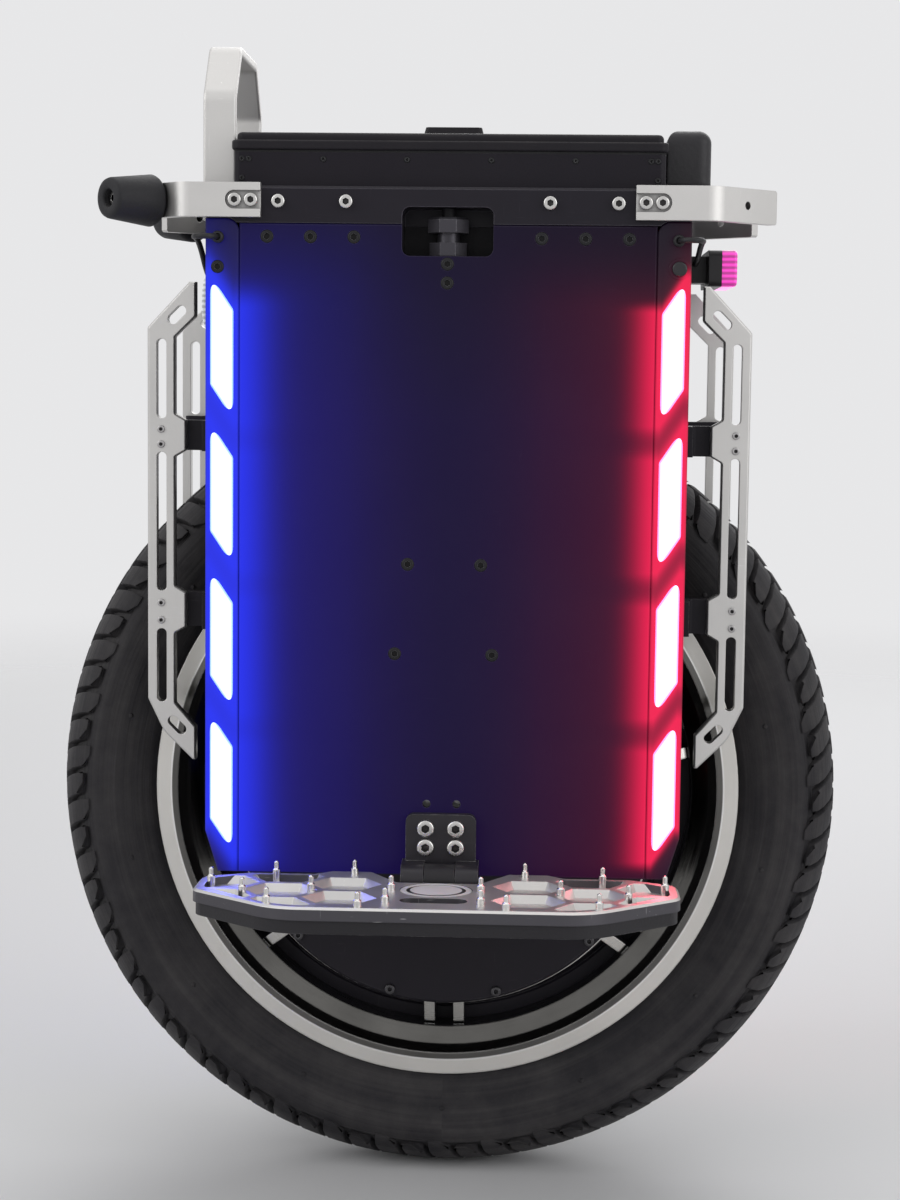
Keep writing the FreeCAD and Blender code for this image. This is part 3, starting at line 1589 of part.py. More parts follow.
def tilted(shape, side_sign):
    """Pedal piece turned about the hinge by the pedal's rest tilt."""
    copy = shape.copy()
    copy.rotate(V(0, hinge_side, hinge_height), X_AXIS, side_sign * pedal_tilt)
    return copy


def pedal_plate():
    top = plate_top
    plate = plan_plate(pedal_outline(0), pedal_rounds(), top - plate_thickness, top)
    plate = bevelled(plate, plate_bevel, edge_at_z(top))
    floor = top - pocket_depth
    inside = plan_plate(pedal_outline(pocket_rim), pedal_rounds(), floor, top + overrun)
    pockets = [inside.common(honeycomb_pocket(x, y)) for x, y in pedal_cells()]
    least = least_pocket_share * pocket_depth * cell_radius ** 2
    pockets = [pocket for pocket in pockets if pocket.Volume > least]
    half_width = centre_pocket_width / 2
    centre = plan_plate(rectangle(-centre_pocket_half, centre_pocket_half, centre_pocket_side - half_width,
                                  centre_pocket_side + half_width), centre_pocket_width * end_round_share,
                        floor, top + overrun)
    disc = rod(disc_radius, V(0, disc_side, top - disc_depth), V(0, disc_side, top + overrun))
    studs = [rod(stud_radius + fit_gap, V(x, y, top - plate_thickness - overrun), V(x, y, top + overrun))
             for x, y in stud_places()]
    return plate.cut(pockets + [centre, disc] + studs)


def pedal_base():
    """Black cast base under the plate: boat floor with ribs, an arm and the hinge knuckle."""
    top = pad_height
    bottom = top - base_thickness
    floor = plan_plate(pedal_outline(base_inset), pedal_rounds(), bottom, top)
    low = plan_plate(pedal_outline(base_inset + pocket_rim), pedal_rounds(), bottom - overrun,
                     bottom + base_rib_depth)
    rib_side = (pedal_waist_side + pedal_outer) / 2
    ribs = [box(-base_rib_half, base_rib_half, rib_side - base_rib / 2, rib_side + base_rib / 2, bottom,
                top)]
    ribs += [box(end * x - base_rib / 2, end * x + base_rib / 2, pedal_notch_side + pocket_rim,
                 pedal_outer - pocket_rim,
                 bottom, top) for end in (1, -1) for x in (pedal_notch_half, pedal_shoulder)]
    knuckle = rod(knuckle_radius, V(-knuckle_half, hinge_side, hinge_height),
                  V(knuckle_half, hinge_side, hinge_height))
    arm = box(-arm_half, arm_half, hinge_side, pedal_notch_side + pocket_rim * 2, bottom, top)
    bore = rod(hinge_pin_radius + fit_gap, V(-knuckle_half - overrun, hinge_side, hinge_height),
               V(knuckle_half + overrun, hinge_side, hinge_height))
    lug_half = hanger_foot_half + knuckle_gap
    lug_room = [rod(knuckle_radius + knuckle_gap, V(min(end * arm_half, end * lug_half), hinge_side,
                                                    hinge_height),
                    V(max(end * arm_half, end * lug_half), hinge_side, hinge_height)) for end in (1, -1)]
    return floor.cut([low] + lug_room).fuse(ribs + [knuckle, arm]).cut(bore).removeSplitter()


def pedal_stud():
    """Stepped stud on the Z axis: a body in the plate, a sloped shoulder and a pin with a bevelled point."""
    foot = plate_top - plate_thickness + seat_gap
    shoulder = plate_top + stud_height
    point = plate_top + stud_pin_height
    half = ((0, foot), (stud_radius, foot), (stud_radius, shoulder),
            (stud_pin_radius, shoulder + stud_shoulder),
            (stud_pin_radius, point), (stud_pin_radius - stud_point, point + stud_point),
            (0, point + stud_point))
    spots = [V(x, 0, z) for x, z in half]
    return Part.Face(Part.makePolygon(spots + spots[:1])).revolve(V(0, 0, 0), Z_AXIS, FULL_TURN)


def pedal_studs():
    return [pedal_stud().translated(V(x, y, 0)) for x, y in stud_places()]


# Writing every piece

def main():
    os.makedirs("parts", exist_ok=True)
    save("tyre", tyre())
    save("rim", rim())
    save("tyre_valve", tyre_valve())
    save("motor_covers", *both_sides(motor_cover()))
    save("motor_cover_screws", *[half for screw in cover_screws() for half in both_sides(screw)])
    save("magnet_ring", magnet_ring())
    save("wheel_bearings", *both_sides(bearing()))
    save("axle", axle())
    save("stator_core", stator_core())
    save("stator_windings", *both_sides(stator_winding()))
    save("axle_blocks", *both_sides(axle_block()))
    save("side_cases", *both_sides(side_case()))
    save("battery_packs", *both_sides(battery_pack()))
    save("side_panel_left", to_left(side_panel()))
    save("side_panel_right", side_panel())
    save("case_screws", *[half for screw in panel_screws() + lid_screws() + [post_screw()]
                          for half in both_sides(screw)])
    save("latch_cups", *both_sides(latch_cup()))
    save("latch_knob_left", to_left(latch_knob()))
    save("latch_knob_right", latch_knob())

    post = light_post()
    save("light_posts_front", *both_sides(screwed_post(post)))
    save("light_posts_rear", *both_sides(button_post(post)))
    rear_lenses = [half for lens in post_lenses() for half in both_sides(lens)]
    save("light_lenses_rear", *rear_lenses)
    save("light_lenses_front", *[to_front(lens) for lens in rear_lenses])
    rear_boards = [half for board in light_boards() for half in both_sides(board)]
    save("light_boards", *(rear_boards + [to_front(board) for board in rear_boards]))
    save("power_button", to_left(power_button()))
    save("charge_socket", charge_socket())

    save("top_rails", *both_sides(top_rail()))
    save("top_frame", top_frame())
    save("top_box", top_box())
    save("lid_seal", lid_seal())
    save("top_lid", top_lid())
    save("heat_sink", heat_sink())
    save("controller_board", controller_board())

    arms = both_sides(bumper_arm())
    save("bumper_arms_rear", *arms)
    save("bumper_arms_front", *[to_front(arm) for arm in arms])
    bolts = rail_bolts() + handle_bolts() + [axle_clamp_screw()]
    bolts += [end_screw for screw in arm_screws() for end_screw in (screw, to_front(screw))]
    save("frame_bolts", *[half for bolt in bolts for half in both_sides(bolt)])
    save("rubber_bumpers", *both_sides(to_front(rubber_bumper())))
    save("handle", handle())
    save("rear_block", rear_block())

    save("cowls", end_cowl(), to_front(end_cowl()))
    save("tail_light_housing", tail_light_housing())
    save("tail_light_lens", tail_light_lens())
    save("head_light_housing", head_light_housing())
    save("head_light_lenses", *head_light_lenses())
    save("light_leads", to_left(rear_lead()), to_left(front_lead()))
    save("mudguard", mudguard())

    guards = both_sides(guard())
    save("guards_rear", *guards)
    save("guards_front", *[to_front(plate) for plate in guards])
    links = [half for z0, z1 in guard_tabs() for half in both_sides(guard_link(z0, z1))]
    save("guard_links", *(links + [to_front(link) for link in links]))
    rear_guard_screws = [half for screw in guard_screws() for half in both_sides(screw)]
    save("guard_screws", *(rear_guard_screws + [to_front(screw) for screw in rear_guard_screws]))

    save("hangers", *both_sides(hanger()))
    save("hanger_bolts", *[half for bolt in hanger_bolts() for half in both_sides(bolt)])
    save("hinge_pins", *both_sides(hinge_pin()))
    for side, place in (("left", to_left), ("right", lambda shape: shape)):
        save("pedal_plate_" + side, place(tilted(pedal_plate(), 1)))
        save("pedal_base_" + side, place(tilted(pedal_base(), 1)))
        save("pedal_studs_" + side, *[place(tilted(stud, 1)) for stud in pedal_studs()])


main()
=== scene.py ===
"""Electric unicycle: tyre, spoke web, screws, lights, bumpers, leads, pedal trim, finishes and a plain stage."""
import math

import bmesh
import bpy
from mathutils import Matrix, Vector


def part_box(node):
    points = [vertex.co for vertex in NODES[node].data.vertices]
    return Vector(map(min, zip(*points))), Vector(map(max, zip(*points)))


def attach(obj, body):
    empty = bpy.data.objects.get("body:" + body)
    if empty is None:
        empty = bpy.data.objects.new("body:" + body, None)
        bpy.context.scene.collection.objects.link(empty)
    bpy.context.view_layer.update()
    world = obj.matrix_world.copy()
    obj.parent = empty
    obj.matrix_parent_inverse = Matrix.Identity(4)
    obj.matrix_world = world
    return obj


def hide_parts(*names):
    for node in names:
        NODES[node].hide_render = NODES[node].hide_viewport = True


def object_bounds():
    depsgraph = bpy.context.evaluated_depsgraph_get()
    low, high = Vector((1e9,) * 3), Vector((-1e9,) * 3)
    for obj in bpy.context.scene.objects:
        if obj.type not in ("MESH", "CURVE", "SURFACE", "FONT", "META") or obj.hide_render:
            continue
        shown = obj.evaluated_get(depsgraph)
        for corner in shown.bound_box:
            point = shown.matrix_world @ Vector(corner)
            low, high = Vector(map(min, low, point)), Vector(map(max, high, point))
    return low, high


bl_info = {
    "name": "Electric unicycle",
    "version": (1, 0, 0),
    "blender": (4, 5, 0),
    "location": "View3D > Sidebar > Unicycle",
    "description": "Models the unicycle's tyre, screws, lights, bumpers, leads and trim, with finishes and a stage",
    "category": "Object",
}

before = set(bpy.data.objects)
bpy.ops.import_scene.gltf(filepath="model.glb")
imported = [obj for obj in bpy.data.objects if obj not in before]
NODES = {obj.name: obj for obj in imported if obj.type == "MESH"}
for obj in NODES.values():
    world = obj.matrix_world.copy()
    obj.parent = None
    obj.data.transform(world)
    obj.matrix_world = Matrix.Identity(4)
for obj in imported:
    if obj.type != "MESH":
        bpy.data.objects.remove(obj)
CAD_BOX = [list(corner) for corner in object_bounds()]
tyre_low, tyre_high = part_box("tyre")
AXLE_HEIGHT = (tyre_low[2] + tyre_high[2]) / 2
AXLE = (0.0, 0.0, AXLE_HEIGHT)
AROUND = (0, 1, 0)
FINISHES = {}

# Places on the frame that the pieces and finishes follow
HUB_RADIUS = 0.1405
SPOKE_END = 0.1580
BARREL_RADIUS = 0.1615
LIP_RADIUS = 0.1812
WINDOW_ACROSS = 0.13875
WINDOW_HALF = 0.00725
WINDOW_TOP = 0.54275
WINDOW_PITCH = 0.0907
WINDOW_COUNT = 4
LEAD_HEIGHT = 0.610

# Colours that several finishes share
BLACK = (0, 0, 0, 1)
WHITE = (1, 1, 1, 1)
# Bare metal on worn edges, and the colour of the painted highlight line on the rim's lip
BARE_METAL_AND_HIGHLIGHT = (0.85, 0.84, 0.82, 1)


# Settings that a user would change

class TyreSettings(bpy.types.PropertyGroup):
    radius: bpy.props.FloatProperty(
        name="Radius", description="Outer radius of the tread", default=(tyre_high[0] - tyre_low[0]) / 2, unit="LENGTH")
    crown: bpy.props.FloatProperty(
        name="Crown", description="Radius of the rounded tread across the wheel", default=0.05563, unit="LENGTH")
    pitches: bpy.props.IntProperty(
        name="Pitches", description="How often the tread pattern repeats round the wheel", default=42, min=8)
    groove: bpy.props.FloatProperty(
        name="Groove depth", description="Depth of the grooves between the lugs", default=0.0065, unit="LENGTH")
    gap: bpy.props.FloatProperty(
        name="Groove width", description="Width of the grooves between the lugs", default=0.0048, unit="LENGTH")
    slant: bpy.props.FloatProperty(
        name="Slant", description="How far a lug leans along the tread for its width", default=0.40)
    tooth: bpy.props.FloatProperty(
        name="Tooth", description="How far a lug's foot rises along its length", default=0.004, unit="LENGTH")
    bevel: bpy.props.FloatProperty(
        name="Lug edge", description="Rounding of the lugs' edges", default=0.0007, unit="LENGTH")
    rubber: bpy.props.FloatVectorProperty(
        name="Rubber", description="Colour of the rubber", default=(0.021, 0.020, 0.023), subtype="COLOR")


class WebSettings(bpy.types.PropertyGroup):
    inner: bpy.props.FloatProperty(
        name="Inner radius", description="Radius at which the web meets the hub", default=HUB_RADIUS, unit="LENGTH")
    outer: bpy.props.FloatProperty(
        name="Outer radius", description="Radius at which the web meets the rim's barrel", default=BARREL_RADIUS,
        unit="LENGTH")
    thickness: bpy.props.FloatProperty(
        name="Thickness", description="Thickness of the web", default=0.003, unit="LENGTH")


class ScrewSettings(bpy.types.PropertyGroup):
    socket: bpy.props.FloatProperty(
        name="Socket", description="Hexagon socket's size as a share of the head", default=0.54, subtype="FACTOR")
    rounding: bpy.props.FloatProperty(
        name="Rounding", description="Rounding of the head's rim as a share of its radius", default=0.2,
        subtype="FACTOR")
    bright: bpy.props.FloatVectorProperty(
        name="Bright steel", description="Colour of the plated screws", default=(0.60, 0.59, 0.575), subtype="COLOR")
    black: bpy.props.FloatVectorProperty(
        name="Black steel", description="Colour of the black screws", default=(0.02, 0.02, 0.022), subtype="COLOR")


class LightSettings(bpy.types.PropertyGroup):
    tall: bpy.props.FloatProperty(
        name="Height", description="Half height of a window at its middle", default=0.0337, unit="LENGTH")
    lean: bpy.props.FloatProperty(
        name="Lean", description="Rise of a window's slanted ends for its width", default=1.5)
    proud: bpy.props.FloatProperty(
        name="Proud", description="How far a window stands out of its post", default=0.0006, unit="LENGTH")
    blunt: bpy.props.FloatProperty(
        name="Blunt tips", description="Length of the rounding at a window's sharp corners", default=0.0120,
        unit="LENGTH")
    soft: bpy.props.FloatProperty(
        name="Soft corners", description="Length of the rounding at a window's blunt corners", default=0.0012,
        unit="LENGTH")


class BumperSettings(bpy.types.PropertyGroup):
    base: bpy.props.FloatProperty(
        name="Base", description="Radius of a bumper at its foot", default=0.0160, unit="LENGTH")
    tip: bpy.props.FloatProperty(
        name="Tip", description="Radius of a bumper at its tip", default=0.0126, unit="LENGTH")
    length: bpy.props.FloatProperty(
        name="Length", description="Length of a bumper", default=0.0335, unit="LENGTH")
    hole: bpy.props.FloatProperty(
        name="Hole", description="Radius of the bolt hole in a bumper's tip", default=0.0053, unit="LENGTH")
    sink: bpy.props.FloatProperty(
        name="Sink", description="Depth of the bolt hole in a bumper's tip", default=0.0075, unit="LENGTH")


class LeadSettings(bpy.types.PropertyGroup):
    thickness: bpy.props.FloatProperty(
        name="Thickness", description="Thickness of the light leads", default=0.0036, unit="LENGTH")
    collar: bpy.props.FloatProperty(
        name="Collar", description="Width of the rubber collar where a lead leaves its post", default=0.0074,
        unit="LENGTH")
    jacket: bpy.props.FloatVectorProperty(
        name="Jacket", description="Colour of the leads", default=(0.016, 0.016, 0.018), subtype="COLOR")


class PedalSettings(bpy.types.PropertyGroup):
    disc: bpy.props.FloatProperty(
        name="Disc", description="Radius of the enamelled disc in the pedal", default=0.0216, unit="LENGTH")
    disc_place: bpy.props.FloatProperty(
        name="Disc place", description="Distance of the disc from the middle of the unicycle", default=0.158,
        unit="LENGTH")
    screw_place: bpy.props.FloatVectorProperty(
        name="Screw place", description="Place of the screw in the pedal's middle pocket", default=(0.009, 0.191),
        size=2, unit="LENGTH")
    light: bpy.props.FloatVectorProperty(
        name="Light enamel", description="Colour of the disc's light rings", default=(0.86, 0.85, 0.83),
        subtype="COLOR")
    dark: bpy.props.FloatVectorProperty(
        name="Dark enamel", description="Colour of the disc's dark ring", default=(0.014, 0.013, 0.016),
        subtype="COLOR")


class FinishSettings(bpy.types.PropertyGroup):
    panel: bpy.props.FloatVectorProperty(
        name="Panels", description="Colour of the side panels", default=(0.0125, 0.0105, 0.0165), subtype="COLOR")
    alloy: bpy.props.FloatVectorProperty(
        name="Blasted alloy", description="Colour of the arms, guards and handle", default=(0.60, 0.59, 0.575),
        subtype="COLOR")
    rim: bpy.props.FloatVectorProperty(
        name="Rim", description="Colour of the rim's flange", default=(0.64, 0.625, 0.59), subtype="COLOR")
    pedal: bpy.props.FloatVectorProperty(
        name="Pedal alloy", description="Colour of the milled pedal plates", default=(0.66, 0.65, 0.63),
        subtype="COLOR")
    blue: bpy.props.FloatVectorProperty(
        name="Front light", description="Colour of the front side lights", default=(0.012, 0.035, 1.0), subtype="COLOR")
    red: bpy.props.FloatVectorProperty(
        name="Rear light", description="Colour of the rear side lights", default=(1.0, 0.012, 0.075), subtype="COLOR")
    tail: bpy.props.FloatVectorProperty(
        name="Tail light", description="Colour of the tail light", default=(1.0, 0.045, 0.62), subtype="COLOR")
    # Painted light: the glow is emission painted into the posts and panels
    glow: bpy.props.FloatProperty(
        name="Glow", description="Strength of the lights' glow in the posts and panels", default=1.0, min=0.0)


class StageSettings(bpy.types.PropertyGroup):
    floor: bpy.props.FloatVectorProperty(
        name="Floor", description="Colour of the floor", default=(0.74, 0.74, 0.75), subtype="COLOR")
    reach: bpy.props.FloatProperty(
        name="Floor reach", description="Radius at which the floor has faded into the backdrop", default=4.0,
        unit="LENGTH")
    sky: bpy.props.FloatVectorProperty(
        name="Backdrop", description="Colour behind the object", default=(0.80, 0.80, 0.81), subtype="COLOR")
    lens: bpy.props.FloatProperty(
        name="Lens", description="Focal length of the camera", default=68.46, unit="CAMERA")
    place: bpy.props.FloatVectorProperty(
        name="Camera place", description="Where the camera stands", default=(0.0617, -1.5062, 0.530), unit="LENGTH")
    turn: bpy.props.FloatVectorProperty(
        name="Camera turn", description="Pitch down, yaw and roll of the camera",
        default=(math.radians(5.743), math.radians(-2.348), math.radians(-0.649)), subtype="EULER")


# Modelling helpers

def clear_selection():
    if bpy.context.object and bpy.context.object.mode != "OBJECT":
        bpy.ops.object.mode_set(mode="OBJECT")
    bpy.ops.object.select_all(action="DESELECT")


def active_piece(name):
    piece = bpy.context.object
    piece.name = name
    piece.data.name = name
    return piece


def select_only(*pieces):
    """Selects these pieces alone and makes the first one active."""
    clear_selection()
    for piece in pieces:
        piece.select_set(True)
    bpy.context.view_layer.objects.active = pieces[0]


def open_mesh(piece):
    select_only(piece)
    bpy.ops.object.mode_set(mode="EDIT")
    bpy.ops.mesh.select_mode(type="VERT")


def close_mesh():
    bpy.ops.mesh.select_all(action="SELECT")
    bpy.ops.mesh.remove_doubles(threshold=1e-6)
    bpy.ops.mesh.normals_make_consistent(inside=False)
    bpy.ops.object.mode_set(mode="OBJECT")


def pick(piece, kind, test):
    """Selects the vertices, edges or faces that pass the test, in edit mode."""
    bpy.ops.mesh.select_mode(type={"verts": "VERT", "edges": "EDGE", "faces": "FACE"}[kind])
    bpy.ops.mesh.select_all(action="DESELECT")
    mesh = bmesh.from_edit_mesh(piece.data)
    for part in getattr(mesh, kind):
        part.select_set(test(part))
    bmesh.update_edit_mesh(piece.data)


def draw_outline(name, points, fill):
    """A closed outline, drawn by extruding one vertex from point to point."""
    clear_selection()
    bpy.ops.mesh.primitive_plane_add(size=0.001, enter_editmode=True)
    piece = active_piece(name)
    bpy.ops.mesh.select_mode(type="VERT")
    bpy.ops.mesh.merge(type="CENTER")
    bpy.ops.transform.translate(value=points[0])
    for before, after in zip(points, points[1:] + points[:1]):
        bpy.ops.mesh.extrude_vertices_move(TRANSFORM_OT_translate={"value": Vector(after) - Vector(before)})
    bpy.ops.mesh.select_all(action="SELECT")
    bpy.ops.mesh.remove_doubles(threshold=1e-6)
    if fill:
        bpy.ops.mesh.edge_face_add()
    return piece


def join_pieces(pieces, name):
    select_only(*pieces)
    bpy.ops.object.join()
    return active_piece(name)


def copy_piece(piece, matrix):
    """A copy with its own mesh at another place, with the place applied to the mesh."""
    select_only(piece)
    bpy.ops.object.duplicate()
    copy = bpy.context.object
    copy.matrix_world = matrix
    bpy.ops.object.transform_apply(location=True, rotation=True, scale=True)
    return copy


def remove_piece(piece):
    clear_selection()
    piece.select_set(True)
    bpy.ops.object.delete()


def smooth_piece(piece, angle=35):
    select_only(piece)
    bpy.ops.object.shade_smooth_by_angle(angle=math.radians(angle))


def dress(piece, material, body, slot, *nodes):
    """Gives a new piece its finish and its body and hides the frame's nodes that it stands for; the slot is not used.
    """
    piece.data.materials.clear()
    piece.data.materials.append(material)
    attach(piece, body)
    if nodes:
        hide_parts(*nodes)


# Shader helpers

def fill_in(tree, node, values):
    """Links or sets the inputs of a node."""
    for key, value in values.items():
        if isinstance(value, bpy.types.NodeSocket):
            tree.links.new(value, node.inputs[key])
        else:
            node.inputs[key].default_value = value


def put(tree, kind, values=None, **settings):
    """A new shader node with its settings, values and links."""
    node = tree.nodes.new(kind)
    for key, value in settings.items():
        setattr(node, key, value)
    fill_in(tree, node, values or {})
    return node


def sums(tree, operation, *values):
    return put(tree, "ShaderNodeMath", dict(enumerate(values)), operation=operation).outputs[0]


def ramp(tree, value, low, high, to_low=0.0, to_high=1.0):
    values = {"Value": value, "From Min": low, "From Max": high, "To Min": to_low, "To Max": to_high}
    return put(tree, "ShaderNodeMapRange", values).outputs[0]


def spread(tree, cloud, low, high):
    """The middle range of a noise, spread between two values."""
    return ramp(tree, cloud, 0.3, 0.7, low, high)


def noise(tree, place, scale, detail=3.0, roughness=0.55):
    values = {"Vector": place, "Scale": scale, "Detail": detail, "Roughness": roughness}
    return put(tree, "ShaderNodeTexNoise", values).outputs[0]


def colours(tree, factor, low, high):
    return put(tree, "ShaderNodeMix", {0: factor, 6: low, 7: high}, data_type="RGBA").outputs[2]


def object_place(tree):
    return put(tree, "ShaderNodeTexCoord").outputs["Object"]


def parts(tree, vector):
    return put(tree, "ShaderNodeSeparateXYZ", {0: vector}).outputs[:3]


def surface_normal(tree):
    return put(tree, "ShaderNodeNewGeometry").outputs["Normal"]


def raised(tree, distance, height, normal=None):
    """Normal of a surface with a fine relief."""
    values = {"Distance": distance, "Height": height}
    if normal is not None:
        values["Normal"] = normal
    return put(tree, "ShaderNodeBump", values).outputs[0]


def stretched(tree, scale, turn=(0, 0, 0)):
    return put(tree, "ShaderNodeMapping", {"Vector": object_place(tree), "Scale": scale, "Rotation": turn}).outputs[0]


def rgba(colour, share=1.0):
    return tuple(min(channel * share, 1.0) for channel in colour[:3]) + (1.0,)


def new_group(name, inputs, outputs):
    tree = bpy.data.node_groups.new(name, "ShaderNodeTree")
    for label, kind, default in inputs:
        socket = tree.interface.new_socket(label, in_out="INPUT", socket_type=kind)
        socket.default_value = default
    for label, kind in outputs:
        tree.interface.new_socket(label, in_out="OUTPUT", socket_type=kind)
    return tree, tree.nodes.new("NodeGroupInput").outputs, tree.nodes.new("NodeGroupOutput").inputs


def use_group(tree, name, values=None):
    return put(tree, "ShaderNodeGroup", values, node_tree=bpy.data.node_groups[name]).outputs


FLOAT = "NodeSocketFloat"
COLOUR = "NodeSocketColor"
VECTOR = "NodeSocketVector"


def make_edge_wear():
    """Rounded normals and a mask of the handled edges."""
    tree, given, out = new_group("edge_wear", (("Radius", FLOAT, 0.0008), ("Patch", FLOAT, 55.0)),
                                 (("Edge", FLOAT), ("Mask", FLOAT), ("Normal", VECTOR)))
    rounded = put(tree, "ShaderNodeBevel", {"Radius": given["Radius"]}, samples=4).outputs[0]
    values = {0: rounded, 1: surface_normal(tree)}
    agree = put(tree, "ShaderNodeVectorMath", values, operation="DOT_PRODUCT").outputs["Value"]
    edge = ramp(tree, agree, 0.995, 0.82)
    place = object_place(tree)
    patch = ramp(tree, noise(tree, place, given["Patch"], 5.0, 0.65), 0.40, 0.62)
    fine = ramp(tree, noise(tree, place, 1400.0, 2.0), 0.35, 0.60)
    tree.links.new(edge, out["Edge"])
    tree.links.new(sums(tree, "MULTIPLY", edge, sums(tree, "MULTIPLY", patch, fine)), out["Mask"])
    tree.links.new(rounded, out["Normal"])


def make_hairlines():
    """Short thin scratches in two directions."""
    tree, given, out = new_group("hairlines", (("Scale", FLOAT, 1.0),), (("Mask", FLOAT),))
    lines = []
    for turn, scale in (((0.35, 0.75, 0.2), (900, 900, 60)), ((1.1, -0.6, 0.9), (70, 1100, 1100))):
        place = put(tree, "ShaderNodeVectorMath", {0: stretched(tree, scale, turn), "Scale": given["Scale"]},
                    operation="SCALE").outputs[0]
        lines.append(ramp(tree, noise(tree, place, 1.0, 1.0), 0.72, 0.80))
    patch = ramp(tree, noise(tree, object_place(tree), 18.0, 2.0), 0.45, 0.65)
    tree.links.new(sums(tree, "MULTIPLY", sums(tree, "MAXIMUM", *lines), patch), out["Mask"])


def make_settled_dust():
    """Fine dust on the faces that look up."""
    tree, given, out = new_group("settled_dust", (("Amount", FLOAT, 0.3),), (("Mask", FLOAT),))
    up = ramp(tree, parts(tree, surface_normal(tree))[2], 0.15, 1.0)
    place = object_place(tree)
    cloud = ramp(tree, noise(tree, place, 22.0, 5.0, 0.65), 0.35, 0.75)
    speck = ramp(tree, noise(tree, place, 1600.0, 1.0), 0.42, 0.72, 0.25, 1.0)
    mask = sums(tree, "MULTIPLY", sums(tree, "MULTIPLY", cloud, speck), sums(tree, "ADD", up, 0.12))
    tree.links.new(sums(tree, "MULTIPLY", mask, given["Amount"]), out["Mask"])


def make_wheel_place():
    """Radius round the axle, with a place that runs along turned lines."""
    tree, given, out = new_group("wheel_place", (("Axle", FLOAT, AXLE_HEIGHT),), (("Radius", FLOAT), ("Place", VECTOR)))
    x, y, z = parts(tree, object_place(tree))
    rise = sums(tree, "SUBTRACT", z, given["Axle"])
    radius = sums(tree, "SQRT", sums(tree, "ADD", sums(tree, "POWER", x, 2.0), sums(tree, "POWER", rise, 2.0)))
    turn = sums(tree, "MULTIPLY", sums(tree, "ARCTAN2", x, rise), 0.004)
    place = put(tree, "ShaderNodeCombineXYZ", {0: radius, 1: sums(tree, "ABSOLUTE", y), 2: turn}).outputs[0]
    tree.links.new(radius, out["Radius"])
    tree.links.new(place, out["Place"])


